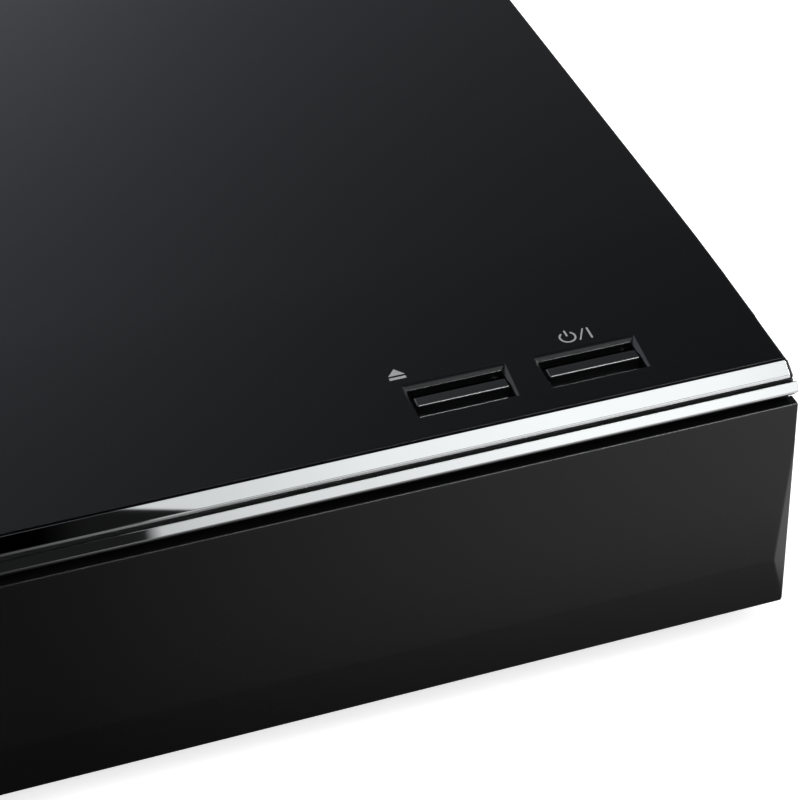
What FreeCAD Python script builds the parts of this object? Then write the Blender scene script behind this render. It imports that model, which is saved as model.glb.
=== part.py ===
import FreeCAD, Part
import math
import os
import Sketcher
from FreeCAD import Placement, Rotation, Vector

# A full-width disc player with a drop-down front door, a motor-driven tray and its electronics.
# Millimetres. X runs to the player's right seen from the front, Y to its back, Z up.
# The origin is on the table under the middle of the player, so that the bounding box is centred on it.

# Driving sizes
SIZES = {
    # Outermost faces: door ends, door crest to jack ends, feet to top
    "width": 430.0,
    "depth": 207.0,
    "height": 59.0,
    "foot_reach": 6.5,
    "jack_reach": 8.0,
    # Top cover: the front of its roof falls away on a large arc
    "cover_wall": 2.0,
    "end_step": 0.8,
    "crown_run": 50.0,
    "crown_drop": 1.7,
    "cover_round": 0.8,
    "cover_lap": 5.5,
    # Sheet steel of the base and the rear panel
    "sheet": 0.8,
    "sheet_gap": 0.3,
    "flange_rise": 8.7,
    # Door: upright above, then leaning out to a crest and back to its foot, with a facet at each end
    "door_wall": 2.6,
    "door_bulge": 2.0,
    "door_foot": 5.5,
    "lean_start": 43.0,
    "crest_rise": 17.8,
    "crest_radius": 4.0,
    "facet_run": 3.3,
    "door_gap": 0.6,
    "door_shell": 2.2,
    # Chrome trims and the dark lines between them
    "brow_height": 8.86,
    "door_clear": 2.14,
    "lower_trim_rise": 1.79,
    "lower_trim_lean": 1.0,
    "trim_groove": 1.3,
    "upper_trim_rise": 1.68,
    "upper_trim_lean": 2.67,
    "trim_wall": 1.0,
    "trim_set": 0.1,
    "trim_cheek": 0.5,
    "flange_wall": 1.2,
    "flange_step": 0.3,
    # Fascia behind the door
    "fascia_wall": 2.2,
    "fascia_lip": 1.3,
    "brow_wall": 1.0,
    # Door hinge, near the bottom edge
    "hinge_rise": 9.5,
    "hinge_set": 2.5,
    "hinge_inset": 9.0,
    "hinge_pin_radius": 1.1,
    "ear_radius": 2.2,
    "ear_wall": 3.0,
    "lug_wall": 3.2,
    "lug_gap": 0.4,
    "running_gap": 0.06,
    # Feet
    "foot_radius": 12.0,
    "foot_inset_x": 46.0,
    "foot_inset_y": 30.0,
    "foot_stem_radius": 3.0,
    # Keys in the top cover
    "key_inset": 31.2,
    "key_pitch": 23.2,
    "key_setback": 9.3,
    "well_length": 17.9,
    "well_width": 8.8,
    "rim_bevel": 0.6,
    "bar_length": 16.1,
    "bar_width": 2.4,
    "key_sink": 1.3,
    "key_plate": 1.2,
    "key_travel": 0.4,
    "well_wall": 1.0,
    "slide_gap": 0.2,
    "board": 1.6,
    "switch_side": 6.0,
    "switch_rise": 3.2,
    "stem_radius": 1.6,
    # Display behind the door
    "window_length": 88.0,
    "window_rise": 17.0,
    "window_start": 96.0,
    "window_foot": 21.0,
    "tube_length": 78.0,
    "tube_rise": 14.0,
    "tube_depth": 3.6,
    # Front socket
    "usb_inset": 64.2,
    "usb_length": 13.1,
    "usb_rise": 5.7,
    "usb_depth": 14.0,
    "usb_wall": 0.5,
    "usb_foot": 20.0,
    # Disc tray
    "disc_radius": 60.0,
    "disc_gap": 0.6,
    "tray_half": 66.0,
    "tray_length": 169.0,
    "tray_rise": 22.7,
    "deck_drop": 4.3,
    "tray_tall": 9.3,
    "pocket_depth": 2.3,
    "skirt_wall": 2.0,
    "disc_setback": 67.5,
    "slot_half": 24.0,
    "tray_travel": 140.0,
    "lid_margin": 4.0,
    "mouth_gap": 0.8,
    "mouth_head": 4.2,
    # Drive frame
    "drive_stand": 3.0,
    "drive_wall": 2.0,
    "tray_side_gap": 0.6,
    "tray_slip": 0.2,
    "ledge_reach": 2.6,
    "lug_reach": 9.4,
    "frame_gap": 0.3,
    # Loading gears
    "rack_module": 1.0,
    "rack_gear_teeth": 24,
    "wheel_module": 0.8,
    "wheel_teeth": 40,
    "pinion_teeth": 12,
    "backlash": 0.3,
    "rack_wall": 4.0,
    "gear_setback": 20.3,
    "post_radius": 1.5,
    "pulley_radius": 13.0,
    "motor_pulley_radius": 3.6,
    "belt_side": 1.6,
    "belt_gap": 0.15,
    "motor_place": 44.5,
    "motor_forward": 4.0,
    "motor_radius": 12.0,
    "motor_rise": 12.0,
    # Traverse: level when it is raised to play, tilted down when it is parked
    "lift": 8.5,
    "pivot_back": 93.4,
    "pivot_radius": 2.0,
    "pivot_rise": 16.2,
    "plate_rise": 14.7,
    "plate_wall": 3.0,
    "traverse_half": 38.0,
    "traverse_front": 25.0,
    "cam_travel": 20.0,
    "cam_wall": 2.0,
    "cam_pin_radius": 1.5,
    "cam_pin_rise": 20.7,
    "cam_gap": 0.3,
    "spindle_radius": 12.0,
    "spindle_rise": 8.0,
    "turntable_radius": 14.5,
    "seat_lift": 1.6,
    "cone_rise": 2.0,
    "rod_radius": 1.5,
    "rod_place": 26.5,
    "rod_rise": 21.2,
    "screw_place": 33.5,
    "sled_start": 24.0,
    "sled_travel": 34.0,
    "sled_length": 24.0,
    "screw_pitch": 3.0,
    "sled_motor_radius": 4.5,
    # Clamp over the tray
    "bridge_wall": 1.2,
    "bridge_width": 38.0,
    "clamp_hole": 16.5,
    "clamper_flange": 18.5,
    "clamper_radius": 15.5,
    "clamper_gap": 0.3,
    # Boards, from the side walls in to the drive and from the rear panel forwards
    "board_stand": 5.7,
    "main_margin": 8.2,
    "main_gap": 10.7,
    "main_length": 140.0,
    "power_margin": 6.2,
    "power_gap": 55.7,
    "power_length": 145.0,
    # Rear sockets
    "socket_gap": 1.5,
    "optical_width": 13.0,
    "hdmi_width": 15.0,
    "hdmi_rise": 6.0,
    "lan_width": 16.0,
    "lan_rise": 13.5,
    "jack_pitch": 12.0,
    "jack_radius": 4.15,
    "jack_stem": 3.4,
    "collar_wall": 1.5,
    "collar_proud": 0.4,
    "jack_bore": 1.6,
    "jack_row": 14.0,
    "inlet_width": 20.0,
    "inlet_rise": 16.0,
    "inlet_reach": 1.5,
    # Fan
    "fan_side": 40.0,
    "fan_depth": 10.0,
    "fan_bore": 18.6,
    "fan_hub": 9.0,
    "blade_gap": 0.8,
    "fan_margin": 4.0,
    # Screws
    "screw_radius": 1.5,
    "screw_head": 2.9,
    "screw_head_rise": 1.4,
}

doc = FreeCAD.newDocument("DiscPlayer")
sheet = doc.addObject("Spreadsheet::Sheet", "Sizes")
for row, (alias, number) in enumerate(SIZES.items(), 1):
    sheet.set(f"A{row}", alias)
    sheet.set(f"B{row}", str(number))
    sheet.setAlias(f"B{row}", alias)
doc.recompute()


class Size:
    """A number together with the sheet expression that works it out."""

    def __init__(self, text, value):
        self.text = text
        self.value = float(value)

    def joined(self, sign, other, value, swap=False):
        left, right = self.text, text_of(other)
        if swap:
            left, right = right, left
        return Size(f"({left} {sign} {right})", value)

    def __add__(self, other):
        return self.joined("+", other, self.value + number_of(other))

    def __radd__(self, other):
        return self.joined("+", other, number_of(other) + self.value, swap=True)

    def __sub__(self, other):
        return self.joined("-", other, self.value - number_of(other))

    def __rsub__(self, other):
        return self.joined("-", other, number_of(other) - self.value, swap=True)

    def __mul__(self, other):
        return self.joined("*", other, self.value * number_of(other))

    def __rmul__(self, other):
        return self.joined("*", other, number_of(other) * self.value, swap=True)

    def __truediv__(self, other):
        return self.joined("/", other, self.value / number_of(other))

    def __neg__(self):
        return Size(f"(0 - {self.text})", -self.value)


def text_of(value):
    """The expression of a size, or the plain number as text."""
    return value.text if isinstance(value, Size) else repr(value)


def number_of(value):
    """The number behind a size."""
    return value.value if isinstance(value, Size) else value


def root(value):
    """The square root of a size."""
    return Size(f"sqrt({value.text})", math.sqrt(value.value))


def slope(rise, run):
    """The angle in degrees whose sine is rise over run."""
    return Size(f"asin({rise.text} / {run.text})", math.degrees(math.asin(rise.value / run.value)))


class Sizes:
    """Every cell of the sheet, by its alias."""


for alias in SIZES:
    setattr(Sizes, alias, Size("Sizes." + alias, float(sheet.get(alias))))


def centred(half):
    return (-half, half)


def around(middle, half):
    return (middle - half, middle + half)


def bind(item, path, value):
    """Ties a property to its expression."""
    item.setExpression(path, text_of(value))


def block(name, x, y, z):
    """A box between two places along each of X, Y and Z."""
    item = doc.addObject("Part::Box", name)
    for side, place, (low, high) in (("Length", "x", x), ("Width", "y", y), ("Height", "z", z)):
        bind(item, side, high - low)
        bind(item, "Placement.Base." + place, low)
    return item


TURNS = {
    "x": Rotation(Vector(0, 1, 0), 90),
    "y": Rotation(Vector(1, 0, 0), -90),
    "z": Rotation(),
}
OTHERS = {"x": "yz", "y": "xz", "z": "xy"}


def stand(item, axis, centre, low):
    """Puts a round primitive on an axis: centre holds the two other places."""
    item.Placement = Placement(Vector(), TURNS[axis])
    bind(item, "Placement.Base." + axis, low)
    for other, place in zip(OTHERS[axis], centre):
        bind(item, "Placement.Base." + other, place)


def rod(name, axis, centre, span, radius):
    """A cylinder along X, Y or Z."""
    item = doc.addObject("Part::Cylinder", name)
    bind(item, "Radius", radius)
    bind(item, "Height", span[1] - span[0])
    stand(item, axis, centre, span[0])
    return item


def taper(name, axis, centre, span, radii):
    """A cone along X, Y or Z, from its low end's radius to its high end's."""
    item = doc.addObject("Part::Cone", name)
    bind(item, "Radius1", radii[0])
    bind(item, "Radius2", radii[1])
    bind(item, "Height", span[1] - span[0])
    stand(item, axis, centre, span[0])
    return item


def fuse(name, *items):
    """One solid of several that touch or overlap."""
    item = doc.addObject("Part::MultiFuse", name)
    item.Shapes = list(items)
    item.Refine = True
    return item


def cut(name, base, *tools):
    """The base with the tools taken away."""
    item = doc.addObject("Part::Cut", name)
    item.Base = base
    item.Tool = tools[0] if len(tools) == 1 else fuse(name + "_tools", *tools)
    return item


def shared(name, first, second):
    """What two solids have in common."""
    item = doc.addObject("Part::Common", name)
    item.Base = first
    item.Tool = second
    return item


def group(name, *items):
    """Several like pieces that stay separate solids."""
    item = doc.addObject("Part::Compound", name)
    item.Links = list(items)
    return item


def mirrored(name, item):
    """The same piece on the other side of the middle plane."""
    other = doc.addObject("Part::Mirroring", name)
    other.Source = item
    other.Normal = Vector(1, 0, 0)
    return other


def sketch_on(body, role, points, offset):
    """A closed sketch through the points, each held to the origin by two dimensions."""
    flat = next(part for part in body.Origin.OriginFeatures if part.Role == role)
    sketch = body.newObject("Sketcher::SketchObject", "Outline")
    sketch.AttachmentSupport = [(flat, "")]
    sketch.MapMode = "FlatFace"
    bind(sketch, "AttachmentOffset.Base.z", offset)
    numbers = [Vector(number_of(first), number_of(second), 0) for first, second in points]
    count = len(points)
    for index in range(count):
        sketch.addGeometry(Part.LineSegment(numbers[index], numbers[(index + 1) % count]), False)
    for index in range(count):
        sketch.addConstraint(Sketcher.Constraint("Coincident", index, 2, (index + 1) % count, 1))
    for index, (first, second) in enumerate(points):
        for kind, value in (("DistanceX", first), ("DistanceY", second)):
            held = Sketcher.Constraint(kind, -1, 1, index, 1, number_of(value))
            bind(sketch, f"Constraints[{sketch.addConstraint(held)}]", value)
    return sketch


def pad(name, axis, points, span):
    """An outline padded along X or Z between two places."""
    body = doc.addObject("PartDesign::Body", name)
    role = {"x": "YZ_Plane", "z": "XY_Plane"}[axis]
    sketch = sketch_on(body, role, points, span[0])
    feature = body.newObject("PartDesign::Pad", "Pad")
    feature.Profile = sketch
    bind(feature, "Length", span[1] - span[0])
    return body


def turned(name, axis, points, centre, base):
    """An outline of (radius, height) points turned round an axis from a base place."""
    body = doc.addObject("PartDesign::Body", name)
    sketch = sketch_on(body, "XZ_Plane", points, 0)
    feature = body.newObject("PartDesign::Revolution", "Revolution")
    feature.Profile = sketch
    feature.ReferenceAxis = (sketch, ["V_Axis"])
    feature.Angle = 360
    stand(body, axis, centre, base)
    return body


def formed(name, shape):
    """A piece whose outline no sketch or primitive gives."""
    item = doc.addObject("Part::Feature", name)
    item.Shape = shape
    return item


nodes = {}


def node(name, item):
    """Names a finished sub-part."""
    item.Label = name
    nodes[name] = item
    return item


# Places that several pieces share, from the outermost faces inwards
half_width = Sizes.width / 2
front_y = -(Sizes.depth / 2)
door_y = front_y + Sizes.door_bulge
door_back_y = door_y + Sizes.door_wall
fascia_y = door_back_y + Sizes.door_gap
fascia_back_y = fascia_y + Sizes.fascia_wall
rear_y = Sizes.depth / 2 - Sizes.jack_reach
rear_inner_y = rear_y - Sizes.sheet
side_x = half_width - Sizes.end_step
middle_x = Size("0.0", 0.0)
wall_x = side_x - Sizes.cover_wall
sheet_x = wall_x - Sizes.sheet_gap
under_z = Sizes.foot_reach
floor_z = under_z + Sizes.sheet
roof_z = Sizes.height - Sizes.cover_wall
door_top_z = Sizes.height - Sizes.brow_height
hinge_y = door_back_y + Sizes.hinge_set
hinge_z = Sizes.hinge_rise
fascia_foot_z = hinge_z - Sizes.fascia_lip
base_front_y = hinge_y + hinge_z - Sizes.door_foot + 1

# Chrome trims, from the door upwards: each is a leaning strip between two edges
lower_trim_z = door_top_z + Sizes.door_clear
lower_trim_top_z = lower_trim_z + Sizes.lower_trim_rise
upper_trim_z = lower_trim_top_z + Sizes.trim_groove
upper_trim_top_z = upper_trim_z + Sizes.upper_trim_rise
lower_trim_y = door_y + Sizes.trim_set
lower_trim_top_y = lower_trim_y + Sizes.lower_trim_lean
upper_trim_y = lower_trim_top_y - Sizes.trim_set
upper_trim_top_y = upper_trim_y + Sizes.upper_trim_lean
cover_front_y = upper_trim_top_y + 0.3

# Tray and disc
tray_front_y = door_back_y
tray_rear_y = tray_front_y + Sizes.tray_length
tray_z = floor_z + Sizes.tray_rise
rim_z = tray_z + Sizes.tray_tall
deck_z = rim_z - Sizes.deck_drop
pocket_z = rim_z - Sizes.pocket_depth
pocket_radius = Sizes.disc_radius + Sizes.disc_gap
disc_y = tray_front_y + Sizes.disc_setback
lid_half = Sizes.tray_half + Sizes.lid_margin
lid_z = tray_z - Sizes.door_gap
mouth_z = rim_z + Sizes.mouth_head

# Keys
power_key_x = side_x - Sizes.key_inset
open_key_x = power_key_x - Sizes.key_pitch
key_y = cover_front_y + Sizes.key_setback
key_top_z = Sizes.height - Sizes.key_sink
key_bar_z = key_top_z - 2.5
key_plate_z = key_bar_z - Sizes.key_plate
key_board_z = key_plate_z - Sizes.key_travel - 0.3 - Sizes.switch_rise - Sizes.board
key_places = {"open_close": open_key_x, "power": power_key_x}

# Boards
board_z = floor_z + Sizes.board_stand
board_top_z = board_z + Sizes.board
board_rear_y = rear_inner_y - 0.7
drive_side_x = Sizes.tray_half + Sizes.tray_side_gap + Sizes.drive_wall
lug_end_x = drive_side_x + Sizes.lug_reach
main_x = (lug_end_x + Sizes.main_gap, sheet_x - Sizes.main_margin)
main_y = (board_rear_y - Sizes.main_length, board_rear_y)
power_x = (-(sheet_x - Sizes.power_margin), -(lug_end_x + Sizes.power_gap))
power_y = (board_rear_y - Sizes.power_length, board_rear_y)


def along(span, share):
    """A place on a board, as a share of the way from its one side to the other."""
    return span[0] + (span[1] - span[0]) * share


# Top cover: one moulding with its two sides, open below, at the front and at the back
def crowned(name, half, front, rear, low, high, wall):
    """A box whose roof falls to the front on an arc: wall is how far it lies inside the outer face."""
    arc_radius = Sizes.crown_run * Sizes.crown_run / (2 * Sizes.crown_drop)
    arc_y = cover_front_y + Sizes.crown_run
    arch = rod("crown_arc", "x", (arc_y, Sizes.height - arc_radius), centred(half), arc_radius - wall)
    nose = shared("crown_nose", block("nose_box", centred(half), (front, arc_y), (low, high)), arch)
    return fuse(name, nose, block("flat_roof", centred(half), (arc_y, rear), (low, high)))


def key_well(x):
    """The skirt that guides a key, and the bevelled hole over it."""
    length = Sizes.bar_length / 2 + 1.4
    width = Sizes.well_width / 2 + 0.4
    low = key_plate_z - Sizes.key_travel - 0.6
    skirt = block("well_skirt", around(x, length + Sizes.well_wall),
                  around(key_y, width + Sizes.well_wall), (low, roof_z))
    bore = block("well_bore", around(x, length), around(key_y, width),
                 (low - 1, roof_z - 1.1))
    hole = block("well_hole", around(x, Sizes.well_length / 2 - Sizes.rim_bevel),
                 around(key_y, Sizes.well_width / 2 - Sizes.rim_bevel), (low - 1, Sizes.height + 1))
    return skirt, bore, hole, rim_bevel(x)


def rim_bevel(x):
    """A flaring pyramid that bevels the edge of a key hole from the roof's surface down."""
    flare = 2 * Sizes.rim_bevel
    depth = Sizes.key_sink + Sizes.rim_bevel
    item = doc.addObject("Part::Wedge", "rim_bevel")
    item.Placement = Placement(Vector(), Rotation(Vector(1, 0, 0), 90))
    spread = flare * depth / (Sizes.rim_bevel * 2)
    inner_x = Sizes.well_length / 2 - Sizes.rim_bevel
    inner_y = Sizes.well_width / 2 - Sizes.rim_bevel
    bind(item, "Xmin", -inner_x)
    bind(item, "Xmax", inner_x)
    bind(item, "Zmin", -inner_y)
    bind(item, "Zmax", inner_y)
    bind(item, "X2min", -(inner_x + spread))
    bind(item, "X2max", inner_x + spread)
    bind(item, "Z2min", -(inner_y + spread))
    bind(item, "Z2max", inner_y + spread)
    item.Ymin = 0
    bind(item, "Ymax", spread)
    bind(item, "Placement.Base.x", x)
    bind(item, "Placement.Base.y", key_y)
    bind(item, "Placement.Base.z", Sizes.height - crown_fall() - Sizes.rim_bevel)
    return item


def crown_fall():
    """How far the roof has fallen over the keys."""
    run = Sizes.crown_run - Sizes.key_setback
    return Sizes.crown_drop * run * run / (Sizes.crown_run * Sizes.crown_run)


def long_roof_edges(shape):
    """The outer long edges of the roof, on both ends."""
    found = []
    for index, edge in enumerate(shape.Edges, 1):
        ends = [vertex.Point for vertex in edge.Vertexes]
        on_end = all(abs(abs(point.x) - side_x.value) < 0.001 for point in ends)
        low = Sizes.height.value - Sizes.crown_drop.value - 0.001
        high = all(point.z > low for point in ends)
        if on_end and high and abs(ends[0].y - ends[-1].y) > 1:
            found.append(index)
    return found


def make_top_cover():
    outer = crowned("cover_outer", side_x, cover_front_y, rear_y, under_z, Sizes.height, 0)
    doc.recompute()
    rounded = doc.addObject("Part::Fillet", "cover_round")
    rounded.Base = outer
    radius = Sizes.cover_round.value
    rounded.Edges = [(index, radius, radius) for index in long_roof_edges(outer.Shape)]
    hollow = crowned("cover_hollow", wall_x, cover_front_y - 1, rear_y + 1, under_z - 1, roof_z,
                     Sizes.cover_wall)
    side_front = cover_front_y + Sizes.cover_lap
    ends = block("cover_ends", centred(side_x + 1), (cover_front_y - 1, side_front),
                 (under_z - 1, Sizes.height - Sizes.crown_drop - Sizes.cover_wall))
    shell = cut("cover_shell", rounded, hollow, ends)
    skirts, holes = [], []
    for x in key_places.values():
        skirt, bore, hole, bevel = key_well(x)
        skirts.append(skirt)
        holes += [bore, hole, bevel]
    with_wells = fuse("cover_wells", shell, *rear_bosses(), *skirts)
    return cut("top_cover", with_wells, *holes, *side_screw_holes(), *rear_boss_holes())


# The cover's fastening: screws through its sides into the base, and bosses behind the rear panel
side_screw_z = floor_z + 4
side_screw_places = [(sign, y) for sign in (-1, 1) for y in (rear_inner_y - 24, rear_inner_y - 140)]
rear_screw_z = roof_z - 4.5
rear_screw_places = [-(sheet_x - 20), middle_x, sheet_x - 20]


def rear_bosses():
    """Blocks under the roof that take the screws of the rear panel."""
    return [block("rear_boss", around(x, 4), (rear_inner_y - 9, rear_inner_y),
                  (rear_screw_z - 4, roof_z + 0.5)) for x in rear_screw_places]


def rear_boss_holes():
    """Pilot holes in those blocks."""
    return [rod("boss_pilot", "y", (x, rear_screw_z), (rear_inner_y - 7.5, rear_inner_y + 1),
                Sizes.screw_radius + 0.05) for x in rear_screw_places]


def side_screw_holes():
    """Counterbored holes in the cover's sides."""
    holes = []
    for sign, y in side_screw_places:
        low, seat = (wall_x - 1, side_x - Sizes.screw_head_rise)
        through = (low, side_x + 1) if sign > 0 else (-(side_x + 1), -low)
        sunk = (seat, side_x + 1) if sign > 0 else (-(side_x + 1), -seat)
        holes.append(rod("side_hole", "x", (y, side_screw_z), through, Sizes.screw_radius + 0.1))
        holes.append(rod("side_sink", "x", (y, side_screw_z), sunk, Sizes.screw_head + 0.15))
    return holes


# Base: a sheet steel tray with turned-up edges, pressed posts and slots under the boards
def post_places(x, y, inset):
    """The four posts of a board."""
    return [(px, py) for px in (x[0] + inset, x[1] - inset) for py in (y[0] + inset, y[1] - inset)]


board_posts = (post_places(main_x, (main_y[0], main_y[1] - 24), 4.5)
               + post_places(power_x, (power_y[0], power_y[1] - 24), 4.5))
post_outer = Sizes.screw_radius + 1.7
lug_x = drive_side_x + Sizes.lug_reach / 2
drive_front_y = fascia_back_y + Sizes.frame_gap
drive_rear_y = tray_rear_y + 3
drive_z = floor_z + Sizes.drive_stand
drive_floor_z = drive_z + Sizes.drive_wall
lug_places = [(sign * lug_x, y) for sign in (-1, 1) for y in (drive_front_y + 14, drive_rear_y - 14)]
foot_places = [(sign * (half_width - Sizes.foot_inset_x), y) for sign in (-1, 1)
               for y in (front_y + Sizes.foot_inset_y + 4, rear_y - Sizes.foot_inset_y)]


def vent_slots(x, y, count, pitch):
    """A row of slots through the base, centred on a place."""
    return [block("vent", around(x + (index - (count - 1) / 2) * pitch, 1.5), around(y, 17),
                  (under_z - 1, floor_z + 1)) for index in range(count)]


def make_chassis_base():
    plate = block("base_plate", centred(sheet_x), (base_front_y, rear_inner_y), (under_z, floor_z))
    front = block("base_front", centred(sheet_x), (base_front_y, base_front_y + Sizes.sheet),
                  (under_z, floor_z + Sizes.flange_rise))
    side = block("base_side", (sheet_x - Sizes.sheet, sheet_x), (base_front_y, rear_inner_y),
                 (under_z, floor_z + Sizes.flange_rise))
    rear = block("base_rear", centred(sheet_x), (rear_inner_y - Sizes.sheet, rear_inner_y),
                 (under_z, floor_z + 4.2))
    posts = [rod("board_post", "z", place, (under_z, board_z), post_outer) for place in board_posts]
    posts += [rod("drive_post", "z", place, (under_z, drive_z - 1), Sizes.screw_radius + 2.5)
              for place in lug_places]
    holes = [rod("post_hole", "z", place, (under_z - 1, board_z + 1), Sizes.screw_radius)
             for place in board_posts]
    holes += [rod("drive_post_hole", "z", place, (under_z - 1, drive_z), Sizes.screw_radius)
              for place in lug_places]
    holes += [rod("foot_hole", "z", place, (under_z - 1, floor_z + 1), Sizes.foot_stem_radius + 0.05)
              for place in foot_places]
    for sign, y in side_screw_places:
        span = (sheet_x - 2, sheet_x + 1) if sign > 0 else (-(sheet_x + 1), -(sheet_x - 2))
        holes.append(rod("side_tap", "x", (y, side_screw_z), span, Sizes.screw_radius + 0.05))
    for x in rear_tab_places:
        holes.append(rod("rear_tap", "y", (x, rear_tab_z), (rear_inner_y - 2, rear_inner_y + 1),
                         Sizes.screw_radius + 0.05))
    holes.append(block("drive_room", centred(drive_side_x + 1), (base_front_y - 1, base_front_y + 2),
                       (floor_z, floor_z + Sizes.flange_rise + 1)))
    middle = (main_x[0] + main_x[1]) / 2
    holes += vent_slots(middle, main_y[0] + 40, 12, 7)
    holes += vent_slots((power_x[0] + power_x[1]) / 2, power_y[0] + 60, 7, 7)
    tray = fuse("base_tray", plate, front, side, mirrored("base_side_left", side), rear, *posts)
    return cut("chassis_base", tray, *holes)


# Feet: mouldings pushed into holes in the base
def make_feet():
    tread, stem = Sizes.foot_radius, Sizes.foot_stem_radius
    points = [(0, 0), (tread - 1, 0), (tread, 1), (tread - 1.5, under_z), (stem, under_z),
              (stem, floor_z + 2), (0, floor_z + 2)]
    return group("feet", *[turned("foot", "z", points, place, 0) for place in foot_places])


# Rear panel: sheet steel with an opening for each socket and a grille for the fan
rear_tab_places = [-(sheet_x - 45), sheet_x - 45]
rear_tab_z = floor_z + 2.4
optical_x = (main_x[1] - 1 - Sizes.optical_width, main_x[1] - 1)
hdmi_spans = []
for order in range(2):
    edge = optical_x[0] - Sizes.socket_gap - order * (Sizes.hdmi_width + Sizes.socket_gap)
    hdmi_spans.append((edge - Sizes.hdmi_width, edge))
lan_x = (hdmi_spans[1][0] - Sizes.socket_gap - Sizes.lan_width, hdmi_spans[1][0] - Sizes.socket_gap)
jack_columns = [lan_x[0] - Sizes.socket_gap - Sizes.jack_pitch * (column + 0.5) for column in range(4)]
jack_rows = [board_top_z + 9, board_top_z + 9 + Sizes.jack_row]
coaxial_place = ((optical_x[0] + optical_x[1]) / 2, jack_rows[1])
jack_places = [(x, z) for x in jack_columns for z in jack_rows]
inlet_x = (power_x[0] + 6, power_x[0] + 6 + Sizes.inlet_width)
inlet_z = (board_top_z, board_top_z + Sizes.inlet_rise)
fan_x = power_x[1] + Sizes.fan_margin + Sizes.fan_side / 2
fan_z = floor_z + 4.5 + Sizes.fan_side / 2
fan_y = (rear_inner_y - Sizes.fan_depth, rear_inner_y)
fan_screw = Sizes.fan_side / 2 - 4
fan_screw_places = [(fan_x + a * fan_screw, fan_z + b * fan_screw) for a in (-1, 1) for b in (-1, 1)]


def grille(name, span, gap):
    """Upright slots that fill a round grille: each is as tall as the circle at its place."""
    radius = Sizes.fan_bore - 1
    pitch = 3.4
    slots = []
    for order in range(-5, 6):
        tall = root(radius * radius - (order * pitch) * (order * pitch))
        slots.append(block(name, around(fan_x + order * pitch, gap), span, around(fan_z, tall)))
    return slots


def make_rear_panel():
    plate = block("rear_plate", centred(sheet_x), (rear_inner_y, rear_y), (floor_z, roof_z - 0.3))
    span = (rear_inner_y - 1, rear_y + 1)
    low = board_top_z
    slack = 0.25
    holes = grille("grille_slot", span, 1.0)
    holes.append(block("optical_hole", (optical_x[0] + 1 - slack, optical_x[1] - 1 + slack), span,
                       (low + 1.5 - slack, low + 11.5 + slack)))
    for edges in hdmi_spans:
        holes.append(block("hdmi_hole", (edges[0] - slack, edges[1] + slack), span,
                           (low + 0.5 - slack, low + Sizes.hdmi_rise + slack)))
    holes.append(block("lan_hole", (lan_x[0] - slack, lan_x[1] + slack), span,
                       (low + 0.5 - slack, low + Sizes.lan_rise + slack)))
    holes.append(block("inlet_hole", (inlet_x[0] - slack, inlet_x[1] + slack), span,
                       (inlet_z[0] - slack + 0.5, inlet_z[1] + slack)))
    for place in jack_places + [coaxial_place]:
        holes.append(rod("jack_hole", "y", place, span, Sizes.jack_radius + 0.9))
    for place in fan_screw_places:
        holes.append(rod("fan_screw_hole", "y", place, span, Sizes.screw_radius + 0.1))
    for x in rear_screw_places:
        holes.append(rod("rear_screw_hole", "y", (x, rear_screw_z), span, Sizes.screw_radius + 0.1))
    for x in rear_tab_places:
        holes.append(rod("rear_tab_hole", "y", (x, rear_tab_z), span, Sizes.screw_radius + 0.1))
    for order in range(10):
        x = middle_x + (order * 4.5 - 40)
        holes.append(block("rear_vent", around(x, 1.2), span, around(fan_z, 11)))
    return cut("rear_panel", plate, *holes)


# Door and tray lid: one moulded section, upright above and leaning out to a rounded crest below
def door_section(inset):
    """The section in Y and Z: inset moves its front face back."""
    face = door_y.value + inset
    crest = front_y.value + inset
    top, foot = door_top_z.value, Sizes.door_foot.value
    radius = Sizes.crest_radius.value - inset
    centre = Vector(0, crest + radius, Sizes.crest_rise.value)
    starts = [Vector(0, face, Sizes.lean_start.value), Vector(0, face, foot)]
    touches = []
    for start in starts:
        reach = start - centre
        turn = math.atan2(abs(reach.z), -reach.y) - math.acos(radius / reach.Length)
        side = math.copysign(1, reach.z)
        touches.append(centre + Vector(0, -math.cos(turn), side * math.sin(turn)) * radius)
    back = door_back_y.value
    crest_mid = Vector(0, crest, centre.z)
    corners = [touches[1], starts[1], Vector(0, back, foot), Vector(0, back, top), Vector(0, face, top),
               starts[0], touches[0]]
    edges = [Part.Arc(touches[0], crest_mid, touches[1]).toShape()]
    for first, second in zip(corners, corners[1:]):
        edges.append(Part.LineSegment(first, second).toShape())
    return Part.Face(Part.Wire(Part.__sortEdges__(edges)))


def door_bar(name, half, inset=0.0):
    """The section carried along X."""
    shape = door_section(inset).extrude(Vector(2 * half.value, 0, 0))
    shape.translate(Vector(-half.value, 0, 0))
    return formed(name, shape)


def end_facet():
    """A wedge outside the slanted facet at the door's right end."""
    run, bulge = Sizes.facet_run, Sizes.door_bulge
    points = [(half_width, door_y), (half_width - run, front_y), (half_width - 2 * run, front_y - bulge),
              (half_width + run, front_y - bulge), (half_width + run, door_y)]
    return pad("end_facet", "z", points, (Sizes.door_foot - 1, door_top_z + 1))


lug_spans = (half_width - Sizes.hinge_inset - Sizes.lug_wall / 2,
             half_width - Sizes.hinge_inset + Sizes.lug_wall / 2)


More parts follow.
